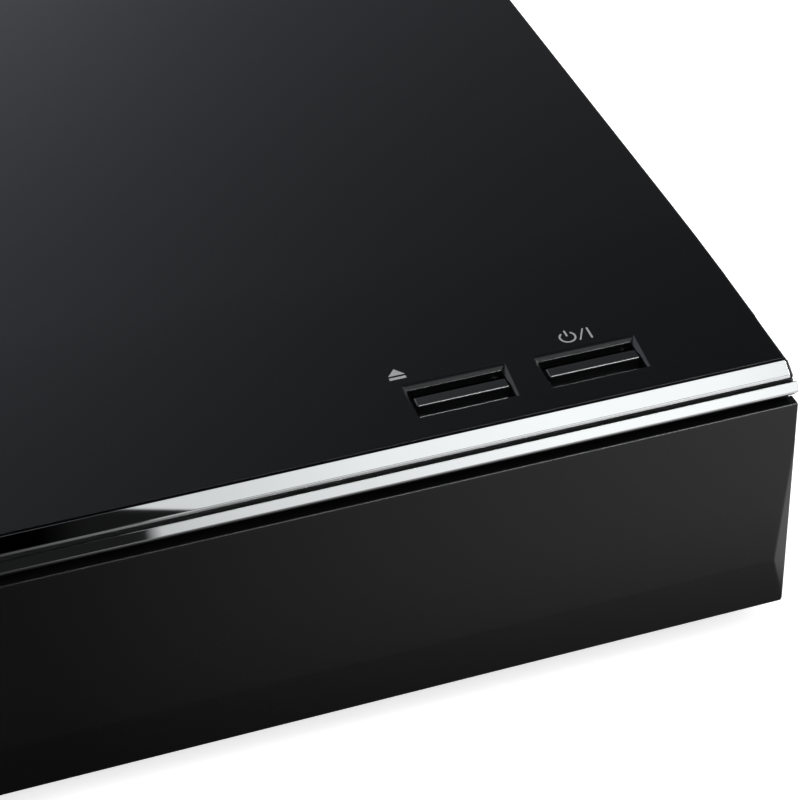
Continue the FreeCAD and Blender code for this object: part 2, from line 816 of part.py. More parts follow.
def make_front_door():
    bar = door_bar("door_bar", half_width)
    core = shared("door_core", door_bar("door_inner", half_width - 5, Sizes.door_shell.value),
                  block("core_box", centred(half_width - 5),
                        (front_y, door_back_y + 1), (Sizes.door_foot + 3, door_top_z - 12)))
    notch = block("door_notch", centred(lid_half + Sizes.door_gap), (front_y - 1, door_back_y + 1),
                  (lid_z - Sizes.door_gap, door_top_z + 1))
    facet = end_facet()
    arm = block("door_arm", lug_spans, (door_back_y - 1, hinge_y), around(hinge_z, Sizes.ear_radius))
    knuckle = rod("door_knuckle", "x", (hinge_y, hinge_z), lug_spans, Sizes.ear_radius)
    bore = rod("door_bore", "x", (hinge_y, hinge_z), around(lug_spans[0], 6),
               Sizes.hinge_pin_radius + Sizes.running_gap)
    lug = cut("door_lug", fuse("door_lug_body", arm, knuckle), bore)
    hollow = cut("door_hollow", bar, core, notch, facet, mirrored("end_facet_left", facet))
    return fuse("front_door", hollow, lug, mirrored("door_lug_left", lug))


def make_tray_lid():
    clip = block("lid_clip", centred(lid_half), (front_y - 1, door_back_y + 1), (lid_z, door_top_z + 1))
    return shared("tray_lid", door_bar("lid_bar", lid_half), clip)


# Chrome trims: leaning strips glued to the fascia's brow
def trim_points(low_y, low_z, high_y, high_z, upright):
    """A strip between two edges with its lower edge eased: its top end is square or upright."""
    run, rise, wall = high_y - low_y, high_z - low_z, Sizes.trim_wall
    length = root(run * run + rise * rise)
    back_y, back_z = wall * rise / length, -(wall * run / length)
    ease = 0.35
    end = (high_y, high_z - wall * length / run) if upright else (high_y + back_y, high_z + back_z)
    return [(low_y + run * ease / length, low_z + rise * ease / length), (high_y, high_z), end,
            (low_y + back_y, low_z + back_z), (low_y + back_y * ease, low_z + back_z * ease)]


lower_trim_points = trim_points(lower_trim_y, lower_trim_z, lower_trim_top_y, lower_trim_top_z, False)
upper_trim_points = trim_points(upper_trim_y, upper_trim_z, upper_trim_top_y, upper_trim_top_z, True)


# Fascia: the moulded front frame behind the door, with the brow that carries the trims
window_x = (Sizes.window_start, Sizes.window_start + Sizes.window_length)
window_z = (Sizes.window_foot, Sizes.window_foot + Sizes.window_rise)
usb_x = around(Sizes.usb_inset - side_x, Sizes.usb_length / 2)
usb_z = (Sizes.usb_foot, Sizes.usb_foot + Sizes.usb_rise)
brow_back_y = fascia_back_y + Sizes.brow_wall
key_board_x = (open_key_x - 22, power_key_x + 20)
key_board_y = (brow_back_y + 0.3, key_y + 9)


def make_front_fascia():
    plate = block("fascia_plate", centred(side_x), (fascia_y, fascia_back_y),
                  (fascia_foot_z, lower_trim_z + 0.4))
    lower, upper = lower_trim_points, upper_trim_points
    shelf_z = Sizes.height - Sizes.crown_drop - Sizes.cover_wall - 0.2
    brow_points = [(brow_back_y, shelf_z), (cover_front_y - 0.25, shelf_z),
                   (cover_front_y - 0.25, upper[2][1] - 0.2), upper[2], upper[3], lower[2], lower[3],
                   (lower[3][0], lower[3][1] - 0.4), (fascia_y, lower[3][1] - 0.4),
                   (brow_back_y, lower_trim_z - 1)]
    brow = pad("brow", "x", brow_points, centred(side_x))
    cheek = pad("trim_cheek", "x", upper, (side_x - Sizes.trim_cheek, side_x))
    flange_y, flange_top = fascia_y + Sizes.flange_wall, lower[2][1] + 0.35
    flange_points = [lower[2], lower[3], (lower[3][0], lower[3][1] - 0.4), (fascia_y, lower[3][1] - 0.4),
                     (fascia_y, fascia_foot_z), (flange_y, fascia_foot_z), (flange_y, flange_top),
                     (lower[2][0], flange_top)]
    flange = pad("fascia_flange", "x", flange_points, centred(half_width - Sizes.flange_step))
    end = block("fascia_end", (side_x - Sizes.cover_wall, side_x),
                (fascia_y, cover_front_y + Sizes.cover_lap - Sizes.sheet_gap),
                (under_z + 2, lower_trim_z + 0.4))
    shelf = block("fascia_shelf", centred(sheet_x - 12), (fascia_back_y - 1, base_front_y),
                  (fascia_foot_z, fascia_foot_z + 1.8))
    ears, slots = [], []
    for low, high in ((lug_spans[1] + Sizes.lug_gap, lug_spans[1] + Sizes.lug_gap + Sizes.ear_wall),
                      (lug_spans[0] - Sizes.lug_gap - Sizes.ear_wall, lug_spans[0] - Sizes.lug_gap)):
        top = hinge_z + 4
        ear = fuse("ear", rod("ear_round", "x", (hinge_y, hinge_z), (low, high), Sizes.ear_radius),
                   block("ear_web", (low, high), (fascia_y, hinge_y + Sizes.ear_radius), (hinge_z, top)))
        ears += [ear, mirrored("ear_left", ear)]
    slot = block("lug_slot", (lug_spans[0] - Sizes.lug_gap, lug_spans[1] + Sizes.lug_gap),
                 (fascia_y - 1, fascia_back_y + 3), (fascia_foot_z - 1, hinge_z + Sizes.ear_radius + 0.8))
    slots += [slot, mirrored("lug_slot_left", slot)]
    for x in (half_width - Sizes.hinge_inset, -(half_width - Sizes.hinge_inset)):
        slots.append(rod("ear_bore", "x", (hinge_y, hinge_z), around(x, 7), Sizes.hinge_pin_radius))
    span = (fascia_y - 1, fascia_back_y + 1)
    mouth = block("tray_mouth", centred(Sizes.tray_half + Sizes.mouth_gap), span,
                  (tray_z - Sizes.mouth_gap, mouth_z))
    window = block("window_hole", window_x, span, window_z)
    usb = block("usb_hole", (usb_x[0] - 0.2, usb_x[1] + 0.2), span, (usb_z[0] - 0.2, usb_z[1] + 0.2))
    arms = [block("board_arm", (x, x + 3), (fascia_back_y - 0.5, key_board_y[1]),
                  (key_board_z - 2, key_board_z)) for x in (key_board_x[0], key_board_x[1] - 3)]
    solid = fuse("fascia_solid", plate, brow, flange, cheek, mirrored("trim_cheek_left", cheek), end,
                 mirrored("fascia_end_left", end), shelf, *ears, *arms)
    return cut("front_fascia", solid, mouth, window, usb, *slots)


def make_hinge_pins():
    length = (lug_spans[0] - Sizes.lug_gap - Sizes.ear_wall, lug_spans[1] + Sizes.lug_gap + Sizes.ear_wall)
    pin = rod("hinge_pin", "x", (hinge_y, hinge_z), length, Sizes.hinge_pin_radius)
    return group("door_hinge_pins", pin, mirrored("hinge_pin_left", pin))


# Keys: a thin bar over a plate, held in the cover's well, with a stem into its switch
def make_key(name, x):
    bar = block("key_bar", around(x, Sizes.bar_length / 2), around(key_y, Sizes.bar_width / 2),
                (key_bar_z - 0.5, key_top_z))
    plate = block("key_plate", around(x, Sizes.bar_length / 2 + 1.4 - Sizes.slide_gap),
                  around(key_y, Sizes.well_width / 2 + 0.4 - Sizes.slide_gap), (key_plate_z, key_bar_z))
    stem = rod("key_stem", "z", (x, key_y), (key_board_z + Sizes.board + 1.3, key_plate_z + 0.5),
               Sizes.stem_radius)
    return fuse(name, bar, plate, stem)


def make_button_board():
    return block("button_board", key_board_x, key_board_y, (key_board_z, key_board_z + Sizes.board))


def make_button_switches():
    low = key_board_z + Sizes.board
    switches = []
    for x in key_places.values():
        body = block("switch_body", around(x, Sizes.switch_side / 2), around(key_y, Sizes.switch_side / 2),
                     (low, low + Sizes.switch_rise))
        hole = rod("switch_hole", "z", (x, key_y), (low + 0.8, low + Sizes.switch_rise + 1),
                   Sizes.stem_radius + 0.08)
        switches.append(cut("switch", body, hole))
    return group("button_switches", *switches)


# Display: a smoked window, a glass tube and its board behind the fascia
tube_y = (fascia_back_y + 0.2, fascia_back_y + 0.2 + Sizes.tube_depth)
display_y = (tube_y[1], tube_y[1] + Sizes.board)
display_x = (window_x[0] - 8, power_key_x + 22)


def make_display_window():
    return block("display_window", (window_x[0] + 0.1, window_x[1] - 0.1), (fascia_y + 0.3, fascia_back_y),
                 (window_z[0] + 0.1, window_z[1] - 0.1))


def make_display_tube():
    middle_x = (window_x[0] + window_x[1]) / 2
    middle_z = (window_z[0] + window_z[1]) / 2
    return block("display_tube", around(middle_x, Sizes.tube_length / 2), tube_y,
                 around(middle_z, Sizes.tube_rise / 2))


def make_display_board():
    return block("display_board", display_x, display_y, (fascia_foot_z + 9.5, key_board_z - 2.5))


# Front socket: a folded metal shell with its tongue, on a small board
def make_front_usb_port():
    wall = Sizes.usb_wall
    span = (fascia_y + 0.1, fascia_y + 0.1 + Sizes.usb_depth)
    shell = block("usb_shell", usb_x, span, usb_z)
    inside = block("usb_inside", (usb_x[0] + wall, usb_x[1] - wall), (span[0] - 1, span[1] - wall),
                   (usb_z[0] + wall, usb_z[1] - wall))
    tongue = block("usb_tongue", (usb_x[0] + 1.2, usb_x[1] - 1.2), (span[0] + 1.5, span[1]),
                   (usb_z[1] - wall - 2.2, usb_z[1] - wall - 0.5))
    return fuse("front_usb_port", cut("usb_box", shell, inside), tongue)


def make_usb_board():
    board = block("usb_plate", (usb_x[0] - 8, usb_x[1] + 8), (fascia_back_y + 0.3, fascia_back_y + 24),
                  (usb_z[0] - Sizes.board, usb_z[0]))
    legs = [block("usb_leg", around(x, 1.5), (fascia_back_y + 18, fascia_back_y + 22),
                  (floor_z, usb_z[0] - Sizes.board)) for x in (usb_x[0] - 6, usb_x[1] + 6)]
    return fuse("usb_board", board, *legs)


# Drive frame: the moulded carrier of the tray, the gears and the traverse
rack_x = -(Sizes.tray_half - Sizes.skirt_wall - Sizes.rack_wall)
rack_pitch_x = rack_x + 1.25 * Sizes.rack_module
rack_gear_radius = Sizes.rack_gear_teeth * Sizes.rack_module / 2
gear_x = rack_pitch_x + rack_gear_radius
gear_y = drive_front_y + Sizes.gear_setback
wheel_radius = Sizes.wheel_teeth * Sizes.wheel_module / 2
pinion_radius = Sizes.pinion_teeth * Sizes.wheel_module / 2
pulley_x = gear_x + wheel_radius + pinion_radius
motor_x = pulley_x + Sizes.motor_place
motor_y = gear_y - Sizes.motor_forward
motor_top_z = drive_floor_z + Sizes.motor_rise
belt_z = (motor_top_z + 1.3, motor_top_z + 1.3 + Sizes.belt_side)
pulley_z = (motor_top_z + 0.5, motor_top_z + 3.7)
wheel_z = (pulley_z[1] + 0.2, pulley_z[1] + 2.4)
rack_gear_z = (wheel_z[1] + 0.6, deck_z - 0.6)
rack_z = (wheel_z[1] + 0.4, deck_z + 0.5)

pivot_y = disc_y + Sizes.pivot_back
pivot_z = floor_z + Sizes.pivot_rise
plate_z = floor_z + Sizes.plate_rise
plate_top_z = plate_z + Sizes.plate_wall
traverse_front_y = disc_y - Sizes.traverse_front
cam_y = (traverse_front_y - 1 - Sizes.cam_wall, traverse_front_y - 1)
cam_pin_z = floor_z + Sizes.cam_pin_rise
tilt = slope(Sizes.lift, Sizes.pivot_back)
guide_x = Sizes.traverse_half + 4
bearing_x = (Sizes.traverse_half + 0.6, Sizes.traverse_half + 4.6)
window_front_y = traverse_front_y - 5
window_rear_y = pivot_y + 6


def make_drive_frame():
    floor = block("drive_floor", centred(drive_side_x), (drive_front_y, drive_rear_y),
                  (drive_z, drive_floor_z))
    side = block("drive_side", (drive_side_x - Sizes.drive_wall, drive_side_x),
                 (drive_front_y, drive_rear_y), (drive_z, rim_z + Sizes.tray_slip + Sizes.drive_wall))
    inner = Sizes.tray_half + Sizes.tray_side_gap
    ledge = block("drive_ledge", (inner - Sizes.ledge_reach, inner + 0.5), (drive_front_y, drive_rear_y),
                  (tray_z - Sizes.tray_slip - Sizes.drive_wall, tray_z - Sizes.tray_slip))
    tabs = [block("drive_tab", (inner - Sizes.ledge_reach, inner + 0.5), around(y, 6),
                  (rim_z + Sizes.tray_slip, rim_z + Sizes.tray_slip + Sizes.drive_wall))
            for y in (drive_front_y + 8, disc_y - 30, disc_y + 34)]
    front = block("drive_front", centred(drive_side_x), (drive_front_y, drive_front_y + Sizes.drive_wall),
                  (drive_z, tray_z - 1.5))
    rear = block("drive_rear", centred(drive_side_x), (drive_rear_y - Sizes.drive_wall, drive_rear_y),
                 (drive_z, tray_z + 3))
    posts = [rod("gear_post", "z", (gear_x, gear_y), (drive_z, rack_gear_z[1]), Sizes.post_radius),
             rod("pulley_post", "z", (pulley_x, gear_y), (drive_z, wheel_z[1] + 0.3), Sizes.post_radius),
             rod("gear_collar", "z", (gear_x, gear_y), (drive_z, wheel_z[0] - 0.3), Sizes.post_radius + 1.5),
             rod("pulley_collar", "z", (pulley_x, gear_y), (drive_z, pulley_z[0] - 0.3),
                 Sizes.post_radius + 1.5)]
    bearing = block("pivot_bearing", bearing_x, around(pivot_y, 4), (drive_z, pivot_z + 4))
    guides = [block("cam_guide", around(x, 2.5), span, (drive_z, drive_floor_z + 2.2))
              for x in (-guide_x, guide_x)
              for span in ((cam_y[0] - 0.2 - 1.5, cam_y[0] - 0.2), (cam_y[1] + 0.2, cam_y[1] + 1.7))]
    lugs = [block("drive_lug", (drive_side_x - 1, drive_side_x + Sizes.lug_reach), around(y, 5),
                  (drive_z, drive_floor_z)) for y in (drive_front_y + 14, drive_rear_y - 14)]
    sided = [side, ledge, bearing] + tabs + lugs
    pairs = sided + [mirrored(item.Name + "_left", item) for item in sided]
    opening = block("traverse_opening", centred(Sizes.traverse_half + 0.4), (window_front_y, window_rear_y),
                    (drive_z - 1, drive_floor_z + 1))
    holes = [rod("lug_hole", "z", place, (drive_z - 1, drive_floor_z + 1), Sizes.screw_radius + 1.6)
             for place in lug_places]
    bore = rod("pivot_bore", "x", (pivot_y, pivot_z), centred(bearing_x[1] + 1),
               Sizes.pivot_radius + Sizes.running_gap)
    seat = rod("motor_seat", "z", (motor_x, motor_y), (drive_floor_z - 1, drive_floor_z + 1),
               Sizes.motor_radius + 0.1)
    base = cut("drive_base", fuse("drive_base_body", floor, front, rear, *posts, *guides), opening, seat)
    return cut("drive_frame", fuse("drive_body", base, *pairs), bore, *holes)


# Tray: a deck with the disc's pocket, two skirts that run on the frame's ledges, and the rack
def rack_teeth():
    """The rack's teeth along the tray, each a trapezium about the pitch line."""
    module = Sizes.rack_module.value
    pitch = math.pi * module
    foot, tip = rack_x.value - 0.2, rack_pitch_x.value + module
    middle = rack_pitch_x.value
    lean = math.tan(math.radians(20))
    half = (pitch / 2 - Sizes.backlash.value) / 2
    first = math.ceil((tray_front_y.value + 4 - gear_y.value) / pitch)
    last = math.floor((tray_rear_y.value - 4 - gear_y.value) / pitch)
    teeth = []
    for index in range(first, last + 1):
        y = gear_y.value + index * pitch
        low, high = half + (middle - foot) * lean, half - (tip - middle) * lean
        corners = [Vector(foot, y - low, 0), Vector(tip, y - high, 0), Vector(tip, y + high, 0),
                   Vector(foot, y + low, 0)]
        face = Part.Face(Part.makePolygon(corners + corners[:1]))
        tooth = face.extrude(Vector(0, 0, rack_z[1].value - rack_z[0].value))
        tooth.translate(Vector(0, 0, rack_z[0].value))
        teeth.append(tooth)
    return formed("rack_teeth", Part.makeCompound(teeth))


def make_disc_tray():
    half = Sizes.tray_half
    deck = block("tray_deck", centred(half), (tray_front_y, tray_rear_y), (deck_z, rim_z))
    skirt = block("tray_skirt", (half - Sizes.skirt_wall, half), (tray_front_y, tray_rear_y),
                  (tray_z, rim_z))
    front = block("tray_front", centred(half), (tray_front_y, tray_front_y + Sizes.skirt_wall),
                  (tray_z, rim_z))
    rack = block("tray_rack", (-(half - 1), rack_x), (tray_front_y + 1, tray_rear_y), (rack_z[0], deck_z + 1))
    pocket = rod("disc_pocket", "z", (0, disc_y), (pocket_z, rim_z + 1), pocket_radius)
    slot = block("traverse_slot", centred(Sizes.slot_half), (disc_y - 20, disc_y + Sizes.disc_radius + 6),
                 (deck_z - 1, rim_z + 1))
    hub = rod("slot_front", "z", (0, disc_y), (deck_z - 1, rim_z + 1), Sizes.slot_half)
    solid = fuse("tray_solid", deck, skirt, mirrored("tray_skirt_left", skirt), front, rack, rack_teeth())
    return cut("disc_tray", solid, pocket, slot, hub)


# Loading gears: involute teeth, worked out from module and tooth count
def gear_outline(teeth, module, backlash):
    """The outline of a spur gear with one tooth centred on the X axis, as a closed wire."""
    pitch_radius = teeth * module / 2
    pressure = math.radians(20)
    base = pitch_radius * math.cos(pressure)
    tip, foot = pitch_radius + module, pitch_radius - 1.25 * module
    half = math.pi / (2 * teeth) - backlash / (2 * pitch_radius)

    def spread(radius):
        """Half the tooth's angle at a radius, on the involute of the base circle."""
        if radius <= base:
            return half + math.tan(pressure) - pressure
        angle = math.acos(base / radius)
        return half + (math.tan(pressure) - pressure) - (math.tan(angle) - angle)

    steps = 4
    start = max(base, foot)
    radii = [foot] + [start + (tip - start) * step / steps for step in range(steps + 1)]
    points = []
    for tooth in range(teeth):
        middle = 2 * math.pi * tooth / teeth
        flank = [(radius, middle - spread(radius)) for radius in radii]
        flank += [(radius, middle + spread(radius)) for radius in reversed(radii)]
        points += [Vector(radius * math.cos(angle), radius * math.sin(angle), 0) for radius, angle in flank]
    return Part.makePolygon(points + points[:1])


def gear(name, teeth, module, centre, span, turn):
    """A spur gear on a Z axis, turned by an angle in degrees so that it meshes."""
    wire = gear_outline(int(number_of(teeth)), module.value, Sizes.backlash.value)
    shape = Part.Face(wire).extrude(Vector(0, 0, span[1].value - span[0].value))
    item = formed(name, shape)
    place = Vector(centre[0].value, centre[1].value, span[0].value)
    item.Placement = Placement(place, Rotation(Vector(0, 0, 1), turn))
    return item


def bored(name, centre, *items):
    """Wheels on one axis, joined and bored to run on their post."""
    bore = rod("post_bore", "z", centre, (drive_z, rim_z), Sizes.post_radius + Sizes.running_gap)
    return cut(name, fuse(name + "_body", *items), bore)


def make_drive_gear():
    centre = (gear_x, gear_y)
    teeth = Sizes.rack_gear_teeth
    upper = gear("rack_gear", teeth, Sizes.rack_module, centre, rack_gear_z, 180 + 180 / teeth.value)
    lower = gear("wheel", Sizes.wheel_teeth, Sizes.wheel_module, centre, wheel_z, 0)
    hub = rod("gear_hub", "z", centre, (wheel_z[0], rack_gear_z[1]), Sizes.post_radius + 2)
    return bored("drive_gear", centre, upper, lower, hub)


def pulley(centre, radius, groove_span, span):
    """A grooved wheel: the groove is as deep as half the belt."""
    depth = Sizes.belt_side / 2
    body = rod("pulley_rim", "z", centre, span, radius + depth)
    ring = rod("groove_ring", "z", centre, groove_span, radius + depth + 1)
    core = rod("groove_core", "z", centre, span, radius - depth)
    return fuse("pulley_wheel", cut("pulley_grooved", body, ring), core)


def make_pulley_gear():
    centre = (pulley_x, gear_y)
    groove = (belt_z[0] - 0.1, belt_z[1] + 0.1)
    teeth = Sizes.pinion_teeth
    pinion = gear("pinion", teeth, Sizes.wheel_module, centre, (pulley_z[1] - 0.1, wheel_z[1]),
                  180 + 180 / teeth.value)
    return bored("pulley_gear", centre, pulley(centre, Sizes.pulley_radius, groove, pulley_z), pinion)


def make_motor_pulley():
    centre = (motor_x, motor_y)
    groove = (belt_z[0] - 0.1, belt_z[1] + 0.1)
    wheel = pulley(centre, Sizes.motor_pulley_radius, groove, pulley_z)
    return cut("motor_pulley", wheel, rod("shaft_bore", "z", centre, (drive_z, rim_z), 1.0))


def make_loading_motor():
    centre = (motor_x, motor_y)
    can = rod("motor_can", "z", centre, (drive_floor_z - 1, motor_top_z - 1), Sizes.motor_radius)
    nose = rod("motor_nose", "z", centre, (motor_top_z - 1.5, motor_top_z), 3)
    shaft = rod("motor_shaft", "z", centre, (motor_top_z - 1, pulley_z[1] + 0.3), 1.0 - 0.05)
    return fuse("loading_motor", can, nose, shaft)


def make_loading_belt():
    """The belt's two tangent runs and its turns round both pulleys."""
    centres = (Vector(pulley_x.value, gear_y.value, 0), Vector(motor_x.value, motor_y.value, 0))
    middle_radii = (Sizes.pulley_radius.value, Sizes.motor_pulley_radius.value)
    half = Sizes.belt_side.value / 2
    depth = Sizes.belt_gap.value

    def loop(extra):
        first, second = middle_radii[0] + extra, middle_radii[1] + extra
        line = centres[1] - centres[0]
        heading = math.atan2(line.y, line.x)
        open_angle = math.acos((first - second) / line.Length)

        def at(centre, radius, angle):
            return centre + Vector(math.cos(angle), math.sin(angle), 0) * radius

        up, down = heading + open_angle, heading - open_angle
        far = at(centres[0], first, heading + math.pi)
        near = at(centres[1], second, heading)
        runs = [Part.Arc(at(centres[0], first, up), far, at(centres[0], first, down)),
                Part.LineSegment(at(centres[0], first, down), at(centres[1], second, down)),
                Part.Arc(at(centres[1], second, down), near, at(centres[1], second, up)),
                Part.LineSegment(at(centres[1], second, up), at(centres[0], first, up))]
        return Part.Face(Part.Wire([run.toShape() for run in runs]))

    ring = loop(half).cut(loop(depth - half))
    shape = ring.extrude(Vector(0, 0, Sizes.belt_side.value))
    shape.translate(Vector(0, 0, belt_z[0].value))
    return formed("loading_belt", shape)


# Lift cam: a plate that slides across and raises the traverse by its slanted slot
parked_pin_z = pivot_z + (cam_pin_z - pivot_z) - Sizes.lift * (pivot_y - cam_y[1] + 1) / Sizes.pivot_back


def make_lift_cam():
    reach = Sizes.cam_pin_radius + Sizes.cam_gap
    travel = Sizes.cam_travel
    plate = block("cam_plate", (-(travel + 7), travel / 2 + 20), cam_y,
                  (drive_floor_z + 0.3, cam_pin_z + reach + 1.6))
    slot = slanted_slot(travel, reach)
    foot = block("cam_foot", (-(guide_x + travel + 2.5), guide_x + 2.5), cam_y,
                 (drive_floor_z + 0.3, drive_floor_z + 2.2))
    return cut("lift_cam", fuse("cam_body", plate, foot), slot)


def slanted_slot(travel, reach):
    """The slot's outline in X and Z, wider than the pin by the running gap all along its slope."""
    rise = cam_pin_z - parked_pin_z
    length = root(travel * travel + rise * rise)
    side = reach * length / travel
    end = reach + 0.4
    body = doc.addObject("PartDesign::Body", "cam_slot")
    points = [(end, parked_pin_z - side - end * rise / travel),
              (end, parked_pin_z + side - end * rise / travel),
              (-(travel + end), cam_pin_z + side + end * rise / travel),
              (-(travel + end), cam_pin_z - side + end * rise / travel)]
    sketch = sketch_on(body, "XZ_Plane", points, -(cam_y[1] + 1))
    feature = body.newObject("PartDesign::Pad", "Pad")
    feature.Profile = sketch
    bind(feature, "Length", Sizes.cam_wall + 2)
    return body


# Traverse: all of it is placed level first, then swung down about its pivot
def parked(item):
    """Swings a finished piece of the traverse from level down to where it is parked."""
    item.Placement = Placement(Vector(), Rotation(Vector(1, 0, 0), 1))
    bind(item, "Placement.Rotation.Angle", tilt)
    swing = f"cos({tilt.text})", f"sin({tilt.text})"
    y, z = pivot_y.text, pivot_z.text
    item.setExpression("Placement.Base.y", f"{y} - ({y} * {swing[0]} - {z} * {swing[1]})")
    item.setExpression("Placement.Base.z", f"{z} - ({y} * {swing[1]} + {z} * {swing[0]})")
    return item


seat_z = pocket_z + Sizes.seat_lift
spindle_z = (plate_top_z, plate_top_z + Sizes.spindle_rise)
rod_z = floor_z + Sizes.rod_rise
sled_y = disc_y + Sizes.sled_start
rod_y = (disc_y + 12, disc_y + Sizes.sled_start + Sizes.sled_travel + 24)
screw_z = plate_top_z + Sizes.sled_motor_radius + 0.3
sled_motor_y = (rod_y[1] - 4, rod_y[1] + 8)


def make_traverse_frame():
    half = Sizes.traverse_half
    plate = block("traverse_plate", centred(half), (traverse_front_y, pivot_y + 4), (plate_z, plate_top_z))
    window = block("sled_window", centred(Sizes.rod_place - 3.5), (disc_y + 13.5, rod_y[1] - 1),
                   (plate_z - 1, plate_top_z + 1))
    blocks = []
    for x in (Sizes.rod_place, -Sizes.rod_place):
        for span in ((rod_y[0], rod_y[0] + 3), (rod_y[1] - 3, rod_y[1])):
            blocks.append(block("rod_block", around(x, 2.5), span, (plate_z, rod_z + 2.3)))
    blocks.append(block("screw_block", around(Sizes.screw_place, 2.6), (rod_y[0], rod_y[0] + 3),
                        (plate_z, screw_z + 2.5)))
    tab = block("cam_tab", centred(middle_x + 6), (traverse_front_y, traverse_front_y + 3),
                (plate_z, cam_pin_z + 2.5))
    pin = rod("cam_pin", "y", (0, cam_pin_z), (cam_y[0] - 0.8, traverse_front_y + 1), Sizes.cam_pin_radius)
    pivots = rod("pivots", "x", (pivot_y, pivot_z), centred(bearing_x[1] - 0.3), Sizes.pivot_radius)
    cheek = block("pivot_cheek", (half - 3, half), around(pivot_y, 3), (plate_z, pivot_z + 2.5))
    gap = block("pivot_gap", centred(half - 3), around(pivot_y, 3.5), (plate_top_z - 0.01, pivot_z + 4))
    holes = []
    for x in (Sizes.rod_place, -Sizes.rod_place):
        holes.append(rod("rod_hole", "y", (x, rod_z), (rod_y[0] - 1, rod_y[1] + 1), Sizes.rod_radius + 0.02))
    holes.append(rod("screw_hole", "y", (Sizes.screw_place, screw_z), (rod_y[0] - 1, rod_y[0] + 4),
                     Sizes.rod_radius + Sizes.running_gap))
    shaft_hole = rod("spindle_hole", "z", (0, disc_y), (plate_z - 1, plate_top_z + 1), 3)
    ends = cut("pivot_ends", fuse("pivot_body", pivots, cheek, mirrored("pivot_cheek_left", cheek)), gap)
    solid = fuse("traverse_solid", cut("traverse_ring", plate, window), tab, pin, ends, *blocks)
    return parked(cut("traverse_frame", solid, shaft_hole, *holes))


def make_spindle_motor():
    can = rod("spindle_can", "z", (0, disc_y), spindle_z, Sizes.spindle_radius)
    shaft = rod("spindle_shaft", "z", (0, disc_y), (spindle_z[0], seat_z - 0.5), 1.0)
    return parked(fuse("spindle_motor", can, shaft))


def make_turntable():
    cone, table = Sizes.cone_rise, Sizes.turntable_radius
    base = spindle_z[1] + 0.3
    tall = seat_z - base
    boss = 7.4
    bore = 1.0 + Sizes.running_gap
    points = [(bore, 0), (boss - 1, 0), (table - 3, tall - 2), (table, tall - 1.6), (table, tall), (boss, tall),
              (boss, tall + cone * 0.5), (boss - 1.4, tall + cone), (bore, tall + cone)]
    return parked(group("turntable", turned("table_body", "z", points, (0, disc_y), base)))


def make_guide_rods():
    rods = [rod("guide_rod", "y", (x, rod_z), rod_y, Sizes.rod_radius)
            for x in (Sizes.rod_place, -Sizes.rod_place)]
    return parked(group("guide_rods", *rods))


def make_optical_pickup():
    half = Sizes.rod_place - 4.5
    length = Sizes.sled_length
    span = (sled_y - 8, sled_y - 8 + length)
    body = block("sled_body", centred(half), span, (plate_z + 1, rod_z + 4))
    lobes = [block("sled_lobe", (half - 1, Sizes.rod_place + 2.6), side, (rod_z - 2.6, rod_z + 2.6))
             for side in ((span[0] + 2, span[0] + 7), (span[1] - 6, span[1] - 1))]
    far = block("sled_far_lobe", (-(Sizes.rod_place + 2.6), -(half - 1)), (span[0] + 9, span[0] + 15),
                (rod_z - 2.6, rod_z + 2.6))
    nut = block("sled_nut", (Sizes.rod_place + 2, Sizes.screw_place + 2.7), (span[0] + 2, span[0] + 7),
                around(screw_z, 2.4))
    bump = rod("lens_mount", "z", (0, sled_y), (rod_z + 3, rod_z + 6.4), 6)
    front = rod("spindle_relief", "z", (0, disc_y), (plate_z, seat_z), Sizes.turntable_radius + 0.6)
    lens_hole = rod("lens_hole", "z", (0, sled_y), (rod_z + 5.2, rod_z + 8), 2.6)
    holes = [rod("sled_rod_hole", "y", (x, rod_z), (span[0] - 1, span[1] + 1),
                 Sizes.rod_radius + Sizes.running_gap) for x in (Sizes.rod_place, -Sizes.rod_place)]
    holes.append(rod("nut_hole", "y", (Sizes.screw_place, screw_z), (span[0] - 1, span[1] + 1),
                     Sizes.rod_radius + 0.1))
    solid = fuse("sled_solid", body, far, nut, bump, *lobes)
    return parked(cut("optical_pickup", solid, front, lens_hole, *holes))


def make_pickup_lens():
    """A low dome, seated in the ring of the pickup."""
    low = rod_z + 5.2
    rim = rod("lens_rim", "z", (0, sled_y), (low, low + 1.0), 2.55)
    dome = doc.addObject("Part::Sphere", "lens_dome")
    dome.Radius = 4.2
    bind(dome, "Placement.Base.y", sled_y)
    bind(dome, "Placement.Base.z", low + 1.6 - 4.2)
    cap = shared("lens_cap", dome, rod("lens_column", "z", (0, sled_y), (low, low + 3), 2.2))
    return parked(fuse("pickup_lens", rim, cap))


def make_lead_screw():
    place = (Sizes.screw_place, screw_z)
    shaft = rod("screw_shaft", "y", place, (rod_y[0] + 0.2, sled_motor_y[0] - 0.3), Sizes.rod_radius)
    return parked(cut("lead_screw", shaft, *screw_grooves(place)))


def screw_grooves(place):
    """Shallow rings at the thread's pitch stand for the thread, which turns inside the nut's clearance."""
    count = int((rod_y[1].value - rod_y[0].value) / Sizes.screw_pitch.value) - 2
    rings = []
    for index in range(count):
        low = rod_y[0] + 5 + index * Sizes.screw_pitch
        outer = rod("groove_outer", "y", place, (low, low + Sizes.screw_pitch / 3), Sizes.rod_radius + 0.5)
        inner = rod("groove_inner", "y", place, (low - 0.1, low + Sizes.screw_pitch / 3 + 0.1),
                    Sizes.rod_radius - 0.35)
        rings.append(cut("groove", outer, inner))
    return rings


def make_sled_motor():
    place = (Sizes.screw_place, screw_z)
    can = rod("sled_can", "y", place, sled_motor_y, Sizes.sled_motor_radius)
    end = rod("sled_can_end", "y", place, (sled_motor_y[1] - 1, sled_motor_y[1] + 1), 2)
    return parked(fuse("sled_motor", can, end))


